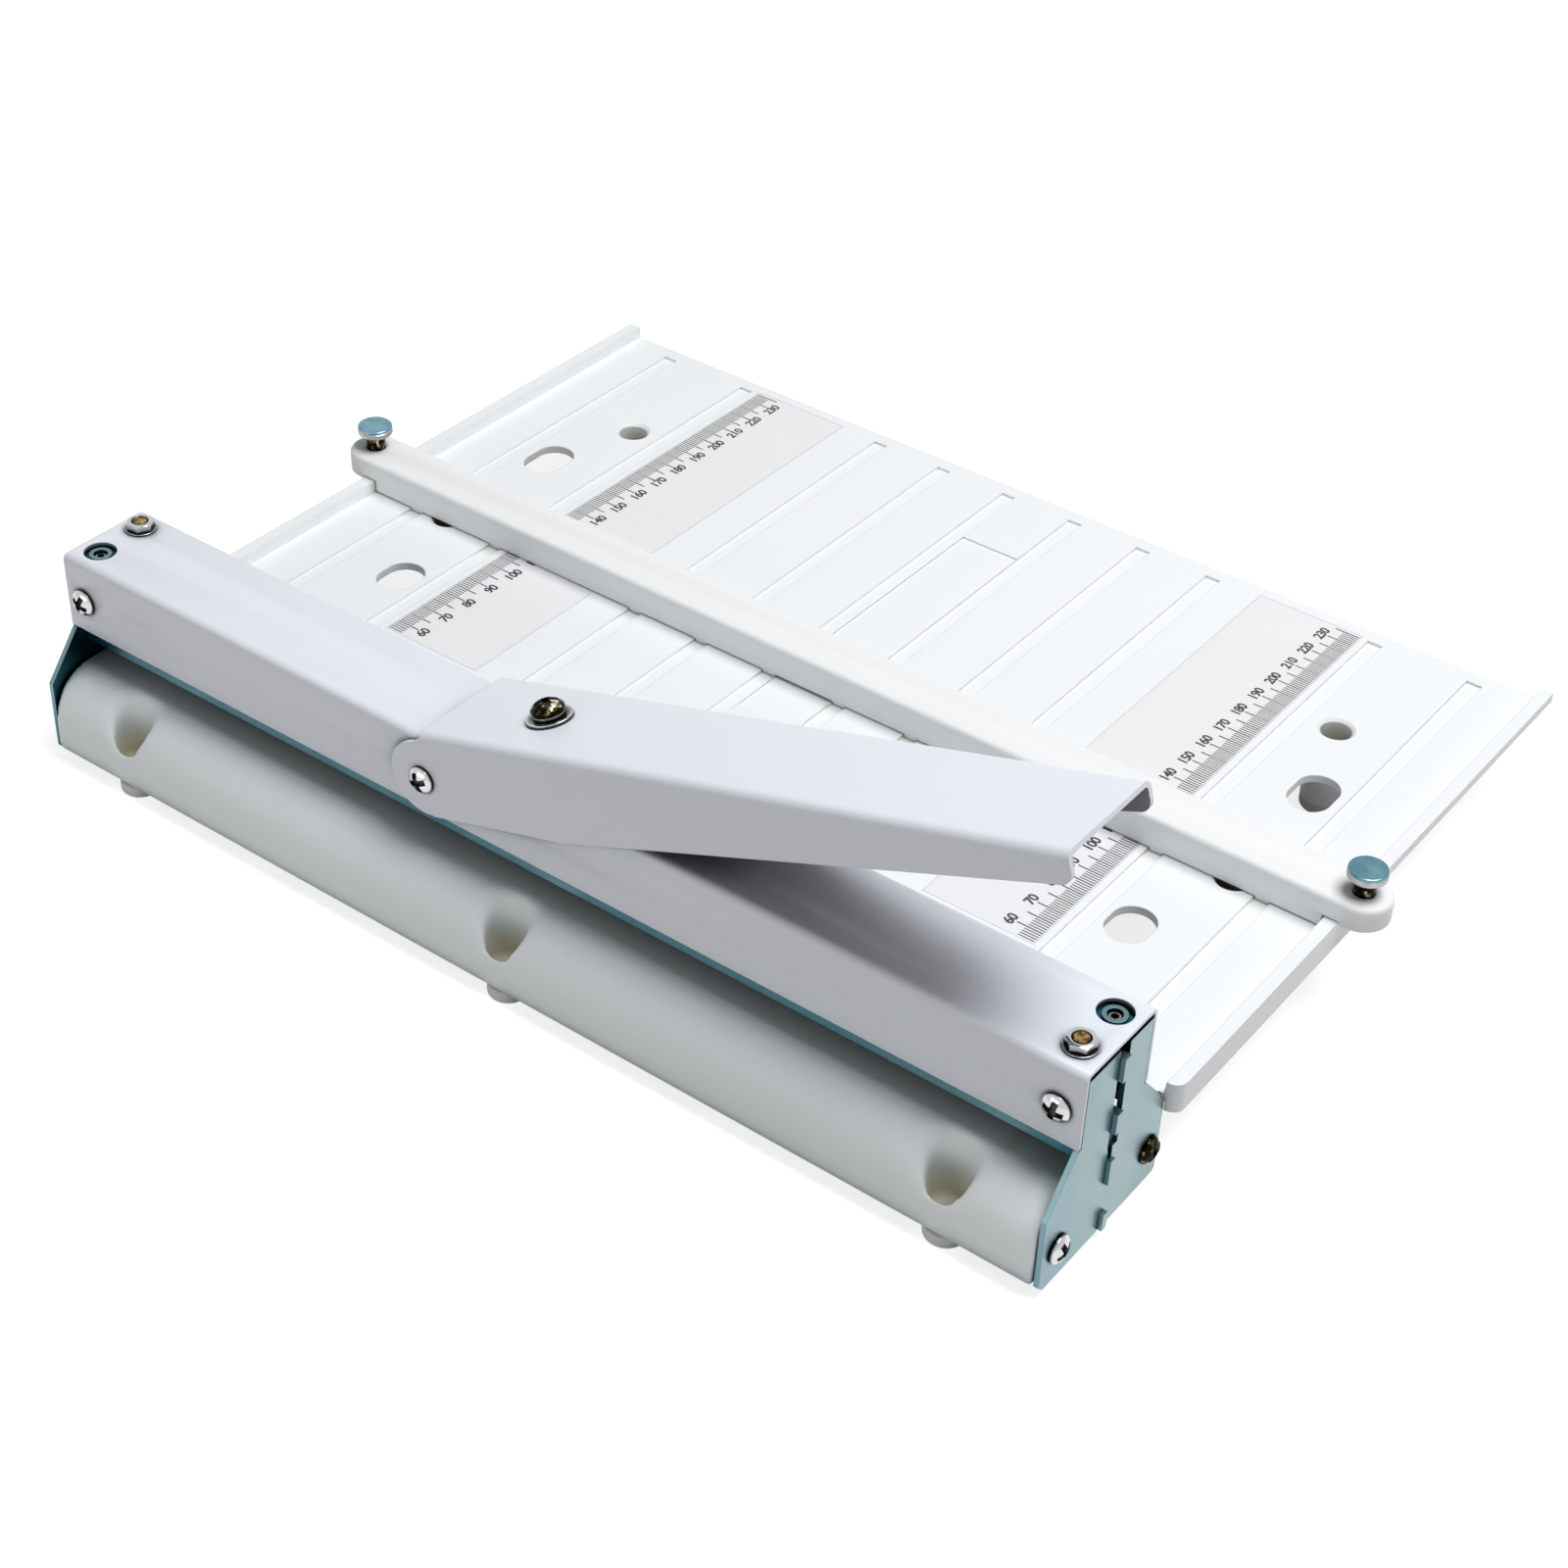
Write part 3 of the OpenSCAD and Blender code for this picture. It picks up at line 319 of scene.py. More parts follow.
def dark_chrome():
    """A polished dark finish whose black and olive patches are painted dark reflections and pale patches
    painted glints, with painted shade near its recess.
    """
    black = (0.008, 0.006, 0.002)
    olive = (0.12, 0.10, 0.03)
    painted_glint = (0.72, 0.70, 0.55)
    s = Shader("dark_chrome", olive, 0.05, metallic=1.0)
    near = [(0.5, (0.05, 0.05, 0.05)), (0.95, OPEN)]
    s.vary_color(s.noise(430, detail=2), [(0.5, black), (0.57, olive), (0.64, painted_glint)], (2.4, near))
    s.vary_roughness(s.noise(900, detail=3), 0.03, 0.08)
    return s.material


def recess_black():
    # Near-black painted shade for the faces inside cross recesses and hex sockets
    s = Shader("recess_black", (0.008, 0.008, 0.009), 0.5)
    s.vary_roughness(s.noise(900), 0.4, 0.65)
    return s.material


def spring_steel():
    color = (0.42, 0.43, 0.44)
    s = Shader("spring_steel", color, 0.25, metallic=1.0)
    s.vary_color(s.noise(400), [(0.3, tint(color, 0.8)), (0.7, color)])
    return s.material


def yellow_brass():
    brown = (0.07, 0.035, 0.012)
    gold = (0.40, 0.27, 0.10)
    s = Shader("yellow_brass", gold, 0.26, metallic=1.0)
    # Painted shade in the grooves of the thread and in tight corners
    near = [(0.4, (0.1, 0.1, 0.1)), (0.9, OPEN)]
    s.vary_color(s.noise(600, detail=4), [(0.42, brown), (0.64, gold)], (1.5, near))
    s.vary_roughness(s.noise(900), 0.2, 0.35)
    return s.material


def black_nylon():
    s = Shader("black_nylon", (0.02, 0.02, 0.022), 0.45)
    s.vary_roughness(s.noise(500), 0.38, 0.55)
    s.bump(s.noise(2500), 0.01)
    return s.material


# Painted shadow of the lever on the beam's top, and painted shade near the other parts, within 30 mm
painted_shade_under_lever = [(0.1, (0.09, 0.095, 0.105)), (0.55, (0.27, 0.28, 0.31))]
painted_shade_under_lever += [(0.75, (0.56, 0.57, 0.60)), (0.9, OPEN)]
paint = lavender_paint("lavender_paint", reach_mm=30, near=painted_shade_under_lever)
# Painted shade inside the lever's channel within 60 mm, and a darker painted shade on its inner walls
painted_shade_in_lever = [(0.2, (0.08, 0.085, 0.095)), (0.46, (0.16, 0.165, 0.185))]
painted_shade_in_lever += [(0.62, (0.6, 0.6, 0.62)), (0.75, OPEN)]
shaded_lever_paint = lavender_paint("shaded_lever_paint", 60, painted_shade_in_lever, inner_walls=(0.24, 0.245, 0.265))
# Copies of one zinc plate that differ only in the reach and strength of the shade painted into their
# corners
zinc = zinc_plate("zinc_plate", reach_mm=3)
lightly_shaded_zinc = zinc_plate("lightly_shaded_zinc_plate", reach_mm=0.9, open_from=0.7)
shaded_zinc = zinc_plate("shaded_zinc_plate", reach_mm=28, open_from=0.97)
blue = blue_zinc()
# Painted shade in the bed's holes and beside the parts on it, warm brown where it is deepest
painted_shade_in_holes = [(0.1, (0.50, 0.45, 0.34)), (0.3, (0.86, 0.84, 0.78)), (0.48, OPEN)]
plastic = white_plastic("white_plastic", (0.90, 0.925, 0.94), (12, painted_shade_in_holes))
# Painted shadow of the beam on the shroud's top, and painted shade in the wells, warm brown at their
# bottoms
painted_shade_under_beam = [(0.1, (0.14, 0.155, 0.155)), (0.3, (0.34, 0.375, 0.38))]
painted_shade_under_beam += [(0.5, (0.41, 0.475, 0.48)), (0.76, OPEN)]
painted_shade_in_wells = [(0.1, (0.88, 0.80, 0.62)), (0.3, (0.66, 0.65, 0.59))]
painted_shade_in_wells += [(0.48, (0.70, 0.73, 0.72)), (0.72, OPEN)]
shroud_white = shroud_plastic(reach_mm=22, painted_shade_under_beam=painted_shade_under_beam, painted_shade_in_wells=painted_shade_in_wells)
fence_plastic = white_plastic("fence_plastic", (0.905, 0.925, 0.925))
label = scale_label()
ink = print_ink()
rubber = white_rubber()
steel = screw_steel()
chrome = dark_chrome()
recess = recess_black()
spring = spring_steel()
brass = yellow_brass()
nylon = black_nylon()


# CAD nodes: clean edges, small bevels and smooth shading, all as modifiers

SHARP_DEGREES = 32
WELD_MM = 0.002
FLAT_DEGREES = 0.5
BEVEL_SEGMENTS = 2


def normals_group(name, merge):
    """Geometry nodes that shade smooth and keep sharp edges, after a merge of doubles if asked."""
    tree = bpy.data.node_groups.new(name, "GeometryNodeTree")
    tree.interface.new_socket("Geometry", in_out="INPUT", socket_type="NodeSocketGeometry")
    tree.interface.new_socket("Geometry", in_out="OUTPUT", socket_type="NodeSocketGeometry")
    start = tree.nodes.new("NodeGroupInput")
    end = tree.nodes.new("NodeGroupOutput")
    geometry = start.outputs["Geometry"]
    if merge:
        weld = tree.nodes.new("GeometryNodeMergeByDistance")
        weld.inputs["Distance"].default_value = WELD_MM * MM
        tree.links.new(geometry, weld.inputs["Geometry"])
        geometry = weld.outputs["Geometry"]
    smooth = tree.nodes.new("GeometryNodeSetShadeSmooth")
    smooth.inputs["Shade Smooth"].default_value = True
    tree.links.new(geometry, smooth.inputs["Geometry"])
    angle = tree.nodes.new("GeometryNodeInputMeshEdgeAngle")
    over = tree.nodes.new("ShaderNodeMath")
    over.operation = "GREATER_THAN"
    over.inputs[1].default_value = math.radians(SHARP_DEGREES)
    tree.links.new(angle.outputs["Unsigned Angle"], over.inputs[0])
    normals = tree.nodes.new("GeometryNodeSetMeshNormal")
    normals.inputs["Remove Custom"].default_value = True
    tree.links.new(smooth.outputs["Geometry"], normals.inputs["Mesh"])
    tree.links.new(over.outputs["Value"], normals.inputs["Edge Sharpness"])
    tree.links.new(normals.outputs["Mesh"], end.inputs["Geometry"])
    return tree


clean_group = normals_group("weld_and_shade", merge=True)
shade_group = normals_group("smooth_by_angle", merge=False)


def add_group(holder, group):
    holder.modifiers.new(group.name, "NODES").node_group = group


def dress(node, material, bevel_mm=0.0):
    """Gives a CAD node its material and clean shading, and a bevel if asked."""
    solid = nodes[node]
    solid.data.materials.clear()
    solid.data.materials.append(material)
    add_group(solid, clean_group)
    if bevel_mm:
        flat = solid.modifiers.new("join_flat_faces", "DECIMATE")
        flat.decimate_type = "DISSOLVE"
        flat.angle_limit = math.radians(FLAT_DEGREES)
        bevel = solid.modifiers.new("soft_edges", "BEVEL")
        bevel.width = bevel_mm * MM
        bevel.segments = BEVEL_SEGMENTS
        bevel.limit_method = "ANGLE"
        bevel.angle_limit = math.radians(SHARP_DEGREES)
        bevel.use_clamp_overlap = False
        bevel.miter_outer = "MITER_ARC"
        add_group(solid, shade_group)


# Mesh building


def to_mesh(bm):
    """Turns a bmesh into a mesh and frees it."""
    mesh = bpy.data.meshes.new("part")
    bm.to_mesh(mesh)
    bm.free()
    return mesh


def circle(steps):
    """(cosine, sine) of the points of a circle."""
    turns = [2 * math.pi * i / steps for i in range(steps)]
    return [(math.cos(a), math.sin(a)) for a in turns]


def join_rings(bm, rings):
    """A closed solid through rings of as many points, with a single point at each end."""
    steps = len(rings[1])
    for low, high in zip(rings, rings[1:]):
        for i in range(steps):
            j = (i + 1) % steps
            if len(low) == 1:
                bm.faces.new((low[0], high[j], high[i]))
            elif len(high) == 1:
                bm.faces.new((low[i], low[j], high[0]))
            else:
                bm.faces.new((low[i], low[j], high[j], high[i]))
    bmesh.ops.recalc_face_normals(bm, faces=bm.faces)


def join_sections(bm, sections, closed):
    """The mesh of a tube through its sections; one that isn't closed gets its two ends."""
    pairs = list(zip(sections, sections[1:]))
    if closed:
        pairs.append((sections[-1], sections[0]))
    for a, b in pairs:
        for k in range(len(a)):
            n = (k + 1) % len(a)
            bm.faces.new((a[k], b[k], b[n], a[n]))
    if not closed:
        bm.faces.new(list(reversed(sections[0])))
        bm.faces.new(sections[-1])
    bmesh.ops.recalc_face_normals(bm, faces=bm.faces)
    return to_mesh(bm)


def lathe(profile, steps=48):
    """A closed solid turned about Z from (radius, height) points that start and end on the axis."""
    bm = bmesh.new()
    rings = []
    for r, h in profile:
        points = circle(steps) if r else [(0, 0)]
        rings.append([bm.verts.new((r * c, r * s, h)) for c, s in points])
    join_rings(bm, rings)
    return to_mesh(bm)


def prism(outline, low, high, top_share=1.0):
    """A solid between two heights over a closed outline; its top is scaled by top_share."""
    bm = bmesh.new()
    bottom = [bm.verts.new((x, y, low)) for x, y in outline]
    top = [bm.verts.new((x * top_share, y * top_share, high)) for x, y in outline]
    bm.faces.new(list(reversed(bottom)))
    bm.faces.new(top)
    for i in range(len(outline)):
        j = (i + 1) % len(outline)
        bm.faces.new((bottom[i], bottom[j], top[j], top[i]))
    bmesh.ops.recalc_face_normals(bm, faces=bm.faces)
    return to_mesh(bm)


def link_object(name, data):
    """A new object in the scene."""
    made = bpy.data.objects.new(name, data)
    bpy.context.scene.collection.objects.link(made)
    return made


def evaluated(holder):
    """The mesh of an object with its modifiers applied; the object goes."""
    graph = bpy.context.evaluated_depsgraph_get()
    mesh = bpy.data.meshes.new_from_object(holder.evaluated_get(graph))
    bpy.data.objects.remove(holder)
    return mesh


def boolean(mesh, tool, operation="DIFFERENCE"):
    """A mesh cut by, or kept inside, another one."""
    body = link_object("boolean", mesh)
    cutter = link_object("cutter", tool)
    cut = body.modifiers.new("cut", "BOOLEAN")
    cut.operation = operation
    cut.object = cutter
    cut.solver = "EXACT"
    cut.material_mode = "TRANSFER"
    made = evaluated(body)
    bpy.data.objects.remove(cutter)
    return made


def painted(mesh, *materials):
    """Gives a mesh its materials; the faces of a mesh without any keep their material numbers."""
    if mesh.materials:
        mesh.materials.clear()
    for material in materials:
        mesh.materials.append(material)
    return mesh


def gather(parts):
    """Joins (mesh, matrix) pairs into one mesh and keeps their materials."""
    made = bmesh.new()
    slots = []
    for mesh, matrix in parts:
        copy = bmesh.new()
        copy.from_mesh(mesh)
        bmesh.ops.transform(copy, matrix=matrix, verts=copy.verts)
        if matrix.determinant() < 0:
            bmesh.ops.reverse_faces(copy, faces=copy.faces)
        own = list(mesh.materials)
        for material in own:
            if material not in slots:
                slots.append(material)
        for face in copy.faces:
            face.material_index = slots.index(own[face.material_index]) if own else 0
        flat = to_mesh(copy)
        made.from_mesh(flat)
        bpy.data.meshes.remove(flat)
    return painted(to_mesh(made), *slots)


def piece(name, mesh, body, replaces=(), sharp=SHARP_DEGREES):
    """Adds a finished mesh, in metres in the frame, as a piece of the object."""
    mesh.name = name
    mesh.shade_smooth()
    mesh.set_sharp_from_angle(angle=math.radians(sharp))
    made = link_object(name, mesh)
    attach(made, body)
    if replaces:
        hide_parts(*replaces)
    return made


def arc(center, radius, start, stop, steps):
    """Points of a circular arc in (radius, height), between two angles in degrees."""
    points = []
    for i in range(steps + 1):
        a = math.radians(start + (stop - start) * i / steps)
        points.append((center[0] + radius * math.cos(a), center[1] + radius * math.sin(a)))
    return points


# Screws with a domed head and a cross recess

CROSS_ARM = 1.6
CROSS_REACH_SHARE = 0.66
CROSS_DEPTH_SHARE = 0.6
CROSS_FLARE_SHARE = 1.18
FLOOR_SLACK = 0.01
SKIN_DEPTH = 0.06
RIM_SHARE = 1 / 3
RIM_ROUND = 0.25
RIM_GAP = 0.1
DOME_FROM = 1.5
DOME_TO = 88
TIP_BEVEL = (0.4, 0.5)
TIP_PLAIN = 0.8
NECK_PLAIN = 0.5
PITCH_M4 = 0.7
PITCH_M5 = 0.8
THREAD_DEPTH = 0.3
OVER = 1


def cross_outline(arm, reach):
    """A cross of four arms."""
    w = arm / 2
    quarter = [(reach, -w), (reach, w), (w, w)]
    points = []
    for turn in range(4):
        c, s = round(math.cos(turn * math.pi / 2)), round(math.sin(turn * math.pi / 2))
        points += [(x * c - y * s, x * s + y * c) for x, y in quarter]
    return points


def thread_profile(radius, low, high, pitch, depth):
    """Ridges of a screw thread between two heights, of whole turns that end at the higher one."""
    points = []
    for i in reversed(range(int((high - low) / pitch))):
        top = high - i * pitch
        for share, inset in ((0.85, 0), (0.5, depth), (0.15, 0)):
            points.append((radius - inset, top - share * pitch))
    return points


def pan_screw(head_r, head_h, shank_r, shank_len, skin, pitch=PITCH_M4):
    """A pan-head screw in millimetres, seated on zero and facing +Z."""
    rim = head_h * RIM_SHARE
    dome = head_h - rim
    ball = (head_r**2 + dome**2) / (2 * dome)
    edge = math.degrees(math.asin((ball - dome) / ball))
    profile = [(0, -shank_len)]
    profile += [(shank_r - TIP_BEVEL[0], -shank_len), (shank_r, TIP_BEVEL[1] - shank_len)]
    profile += thread_profile(shank_r, TIP_PLAIN - shank_len, -NECK_PLAIN, pitch, THREAD_DEPTH)
    profile += [(shank_r, 0), (head_r - RIM_ROUND, 0)]
    profile += arc((head_r - RIM_ROUND, RIM_ROUND), RIM_ROUND, -90, 0, 3)[1:]
    profile += [(head_r, rim - RIM_GAP)]
    profile += arc((0, head_h - ball), ball, edge + DOME_FROM, DOME_TO, 9)
    profile += [(0, head_h)]
    head = painted(lathe(profile, 56), skin)
    reach = head_r * CROSS_REACH_SHARE
    outline = cross_outline(CROSS_ARM, reach)
    floor = head_h * (1 - CROSS_DEPTH_SHARE)
    cut = prism(outline, floor, head_h + OVER, CROSS_FLARE_SHARE)
    screw = painted(boolean(head, cut), skin, recess)
    # The faces inside the recess get the near-black of painted shade
    for face in screw.polygons:
        away = math.hypot(face.center.x, face.center.y)
        if away < reach and floor - FLOOR_SLACK < face.center.z:
            skin_height = head_h - ball + math.sqrt(ball**2 - away**2)
            if face.center.z < skin_height - SKIN_DEPTH:
                face.material_index = 1
    return screw


M4_HEAD = (4.0, 2.6)
M5_HEAD = (4.6, 3.4)
M4_R = 2.0
M5_R = 2.5
LONG_SHANK = 10
SHORT_SHANK = 3.6
PIVOT_SEAT = 1.85
m4_long = pan_screw(*M4_HEAD, M4_R, LONG_SHANK, steel)
m4_long_dark = pan_screw(*M4_HEAD, M4_R, LONG_SHANK, chrome)
m4_short = pan_screw(*M4_HEAD, M4_R, SHORT_SHANK, steel)
m4_shoulder = pan_screw(*M4_HEAD, M5_R, PIVOT_SEAT, steel)


def side_screws(name, node, screw, y, z, turn):
    """A screw through each end plate."""
    ends = [(screw, seat((s * PLATE_X, y, z), (s, 0, 0), turn * s)) for s in (-1, 1)]
    piece(name, gather(ends), "base", [node])


side_screws("shroud_cross_screws", "shroud_screws", m4_long, y=-18.4, z=-14.6, turn=0.35)
side_screws("bed_cross_screws", "bed_screws", m4_long_dark, y=22.6, z=-13.9, turn=0.6)

WALL_SCREW_X = 161.85
WALL_SCREW_Z = 23.9
wall_screws = []
for face in (-1, 1):
    for end in (-1, 1):
        spot = (end * WALL_SCREW_X, BEAM_Y + face * BEAM_HALF_W, WALL_SCREW_Z)
        turn = 0.5 + 0.9 * end
        wall_screws.append((m4_short, seat(spot, (0, face, 0), turn)))
piece("beam_cross_screws", gather(wall_screws), "base", ["beam_screws"])


# Shoulder screws of the lever, with their thinner ends in the beam's wall

PIVOT_REACH = 6.25
PIVOT_BEVEL = (0.3, 0.35)
PIVOT_TURN = 0.4
pivot_end = [(0, -PIVOT_REACH), (M4_R - PIVOT_BEVEL[0], -PIVOT_REACH)]
pivot_end += [(M4_R, PIVOT_BEVEL[1] - PIVOT_REACH), (M4_R, -PIVOT_SEAT), (0, -PIVOT_SEAT)]
m4_end = painted(lathe(pivot_end, 32), steel)
pivot_screws = []
for face in (-1, 1):
    spot = Vector((LEVER_PIVOT.x, BEAM_Y + face * (BEAM_HALF_W + PIVOT_SEAT), LEVER_PIVOT.z))
    pivot_screws.append((m4_shoulder, seat(spot, (0, face, 0), PIVOT_TURN)))
    pivot_screws.append((m4_end, seat(spot, (0, face, 0))))
piece("pivot_shoulder_screws", gather(pivot_screws), "base", ["lever_pivot_screws"])


# Push screw, split washer and washer on the lever

lever_along = Vector((math.cos(LEVER_REST), 0, math.sin(LEVER_REST)))
lever_up = Vector((-math.sin(LEVER_REST), 0, math.cos(LEVER_REST)))


def on_lever(s, p, turn=0.0):
    """Seat on the lever, s along it from its pivot and p over it."""
    return seat(LEVER_PIVOT + lever_along * s + lever_up * p, lever_up, turn)


WASHER_T = 1.0
LOCK_T = 1.2
PUSH_SHANK = 7.5
PUSH_TURN = 0.9
big_screw = pan_screw(*M5_HEAD, M5_R, PUSH_SHANK, chrome, PITCH_M5)
push_seat = on_lever(PUSH_AT, LEVER_RISE + WASHER_T + LOCK_T, PUSH_TURN)
piece("push_cross_screw", gather([(big_screw, push_seat)]), "lever", ["push_screw"])


def ring(inner, outer, thickness, edge, steps=64, gap=0.0, lift=0.0):
    """A washer with rounded edges, from zero up; gap, in radians, splits it and lift parts its ends."""
    section = []
    corners = [(outer - edge, edge, -90), (outer - edge, thickness - edge, 0)]
    corners += [(inner + edge, thickness - edge, 90), (inner + edge, edge, 180)]
    for r, h, start in corners:
        section += arc((r, h), edge, start, start + 90, 3)
    bm = bmesh.new()
    sections = []
    span = 2 * math.pi - gap
    for i in range(steps + 1 if gap else steps):
        a = gap / 2 + span * i / steps
        rise = lift * (i / steps - 0.5)
        c, s = math.cos(a), math.sin(a)
        sections.append([bm.verts.new((r * c, r * s, h + rise)) for r, h in section])
    return join_sections(bm, sections, closed=not gap)


WASHER_BORE = 2.6
WASHER_R = 6.3
LOCK_R = 4.4
LOCK_GAP = 0.075
LOCK_TURN = math.radians(-60)
washer = painted(ring(WASHER_BORE, WASHER_R, WASHER_T, edge=0.25), steel)
washer_part = gather([(washer, on_lever(PUSH_AT, LEVER_RISE))])
piece("push_flat_washer", washer_part, "lever", ["push_washer"])
lock_ring = ring(WASHER_BORE, LOCK_R, LOCK_T - 2 * LOCK_GAP, edge=0.2, gap=0.22, lift=0.12)
lock = painted(lock_ring, steel)
lock_seat = on_lever(PUSH_AT, LEVER_RISE + WASHER_T + LOCK_GAP, LOCK_TURN)
piece("push_split_washer", gather([(lock, lock_seat)]), "lever", ["push_spring_washer"])


# Guide bolts, nuts, washers, springs and depth screws at the beam's ends

GUIDE_OFF = 7.6
guide_spots = [(WALL_SCREW_X, BEAM_Y - GUIDE_OFF), (-WALL_SCREW_X, BEAM_Y + GUIDE_OFF)]
depth_spots = [(WALL_SCREW_X, BEAM_Y + GUIDE_OFF), (-WALL_SCREW_X, BEAM_Y - GUIDE_OFF)]
BOLT_LOW = 13.2
BOLT_TOP = 40.1
NUT_LOW = 37.6
NUT_H = 2.2
NUT_AF = 7.0
NUT_TURN = (0.35, 1.1)
NUT_BORE = 2.02
NUT_CHAMFER = 0.45
NUT_FACE_INSET = 0.15
CORNER_OVER = 0.05
BORE_CHAMFER = 0.5
FACE_OVER = 0.01


def hex_outline(across_flats):
    """A hexagon with a corner on +X."""
    r = across_flats / math.sqrt(3)
    return [(r * math.cos(math.radians(60 * i)), r * math.sin(math.radians(60 * i))) for i in range(6)]


def hex_nut(across_flats, height, bore):
    """A chamfered nut with a turned washer face, from zero up."""
    corner = across_flats / math.sqrt(3) + CORNER_OVER
    face = across_flats / 2
    turned = [(0, 0), (face, 0), (corner, NUT_CHAMFER), (corner, height - NUT_CHAMFER)]
    turned += [(face - NUT_FACE_INSET, height), (0, height)]
    body = prism(hex_outline(across_flats), 0, height)
    body = boolean(body, lathe(turned, 72), "INTERSECT")
    mouth = bore + BORE_CHAMFER
    hole = [(0, -OVER), (bore, -OVER), (bore, height - BORE_CHAMFER), (mouth, height + FACE_OVER)]
    hole += [(mouth, height + OVER), (0, height + OVER)]
    return painted(boolean(body, lathe(hole, 40)), steel)


nut = hex_nut(NUT_AF, NUT_H, NUT_BORE)
nut_parts = [(nut, seat((x, y, NUT_LOW), UP, t)) for (x, y), t in zip(guide_spots, NUT_TURN)]
piece("guide_hex_nuts", gather(nut_parts), "base", ["guide_nuts"])

guide_washer = painted(ring(inner=2.15, outer=4.5, thickness=0.6, edge=0.15), steel)
washer_parts = [(guide_washer, seat((x, y, BEAM_TOP), UP)) for x, y in guide_spots]
piece("guide_flat_washers", gather(washer_parts), "base", ["guide_washers"])

FINE_DEPTH = 0.28
END_BEVEL = 0.35


def threaded(foot, radius, low, high, length):
    """Profile of a rod: its foot's points, a thread between two heights and a bevelled end."""
    profile = foot + thread_profile(radius, low, high, PITCH_M4, FINE_DEPTH)
    return profile + [(radius, length - END_BEVEL), (radius - END_BEVEL, length), (0, length)]


BOLT_HEAD_R = 3.5
BOLT_HEAD_H = 2.6
BOLT_BEVEL = (0.2, 0.25)
BOLT_PLAIN = 18.6
BOLT_THREAD = 19.0
bolt_len = BOLT_TOP - BOLT_LOW
flat_r = BOLT_HEAD_R - BOLT_BEVEL[0]
bolt_foot = [(0, 0), (flat_r, 0), (BOLT_HEAD_R, BOLT_BEVEL[1]), (BOLT_HEAD_R, BOLT_HEAD_H - BOLT_BEVEL[1])]
bolt_foot += [(flat_r, BOLT_HEAD_H), (M4_R, BOLT_HEAD_H), (M4_R, BOLT_PLAIN)]
bolt_profile = threaded(bolt_foot, M4_R, BOLT_THREAD, bolt_len - END_BEVEL, bolt_len)
bolt = painted(lathe(bolt_profile, 40), brass)
bolt_parts = [(bolt, seat((x, y, BOLT_LOW), UP)) for x, y in guide_spots]
piece("guide_thread_bolts", gather(bolt_parts), "base", ["guide_bolts"])

DEPTH_LOW = 22.0
DEPTH_TOP = 35.5
DEPTH_R = 1.95
DEPTH_POINT = (1.2, 0.7)
DEPTH_PLAIN = (1.0, 0.4)
SOCKET_AF = 2.0
SOCKET_DEPTH = 1.8
depth_len = DEPTH_TOP - DEPTH_LOW
depth_foot = [(0, 0), (DEPTH_POINT[0], 0), (DEPTH_R, DEPTH_POINT[1])]
depth_profile = threaded(depth_foot, DEPTH_R, DEPTH_PLAIN[0], depth_len - DEPTH_PLAIN[1], depth_len)
grub = painted(lathe(depth_profile, 40), steel)
# The socket's faces get the near-black of painted shade
socket_cut = painted(prism(hex_outline(SOCKET_AF), depth_len - SOCKET_DEPTH, depth_len + OVER), recess)
grub = boolean(grub, socket_cut)
grub_parts = [(grub, seat((x, y, DEPTH_LOW), UP)) for x, y in depth_spots]
piece("depth_grub_screws", gather(grub_parts), "press_bar", ["depth_screws"])


def coil_rise(t, end_share):
    """Share of a spring's height at a share t of its wire; it climbs slowly over its end turns."""
    if t < end_share:
        rise = 0.25 * (t / end_share) ** 2
    elif t > 1 - end_share:
        rise = 1 - 0.25 * ((1 - t) / end_share) ** 2
    else:
        rise = 0.25 + 0.5 * (t - end_share) / (1 - 2 * end_share)
    return rise * 0.5 + t * 0.5


def coil(radius, wire_r, low, high, turns, wire_steps=8, steps_per_turn=28):
    """An open coil spring about Z."""
    bm = bmesh.new()
    count = turns * steps_per_turn
    sections = []
    for i in range(count + 1):
        t = i / count
        a = 2 * math.pi * turns * t
        height = low + wire_r + (high - low - 2 * wire_r) * coil_rise(t, 1 / turns)
        middle = Vector((radius * math.cos(a), radius * math.sin(a), height))
        out = Vector((math.cos(a), math.sin(a), 0))
        sections.append([bm.verts.new(middle + wire_r * (c * out + s * UP)) for c, s in circle(wire_steps)])
    return join_sections(bm, sections, closed=False)


SPRING_R = 2.85
SPRING_WIRE_R = 0.34
SPRING_LOW = 15.8
SPRING_HIGH = 34.3
SPRING_TURNS = 8
coil_mesh = painted(coil(SPRING_R, SPRING_WIRE_R, SPRING_LOW, SPRING_HIGH, SPRING_TURNS), spring)
coil_parts = [(coil_mesh, seat((x, y, 0), UP)) for x, y in guide_spots]
coils = piece("return_coil_springs", gather(coil_parts), "base", ["return_springs"])
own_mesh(coils)


# Thumb screws with a finely knurled rim

THUMB_X = 174.55
THUMB_Y = 116.4
THUMB_R = 5.45
THUMB_T = 3.0
THUMB_LOW = FENCE_TOP + 4.9
SHANK_R = 3.0
CAM_R = 1.6
CAM_OFF = 0.3
SHANK_LOW = 4.15
CAM_LOW = 0.8
CAM_BEVEL = 0.2
COLLAR = 0.35
COLLAR_H = 0.5
OVERLAP = 0.1
HEAD_BOSS = 0.4
HEAD_CHAMFER = [(0.55, 0.0), (0.12, 0.42)]
KNURL_LOW = 0.55
KNURL_UNDER_TOP = 1.15
GROOVE_INSET = 0.3
GROOVE_UNDER_TOP = 0.95
RIM_UNDER_TOP = 0.8
TOP_INSET = 0.62
TOP_ROUND = 0.58


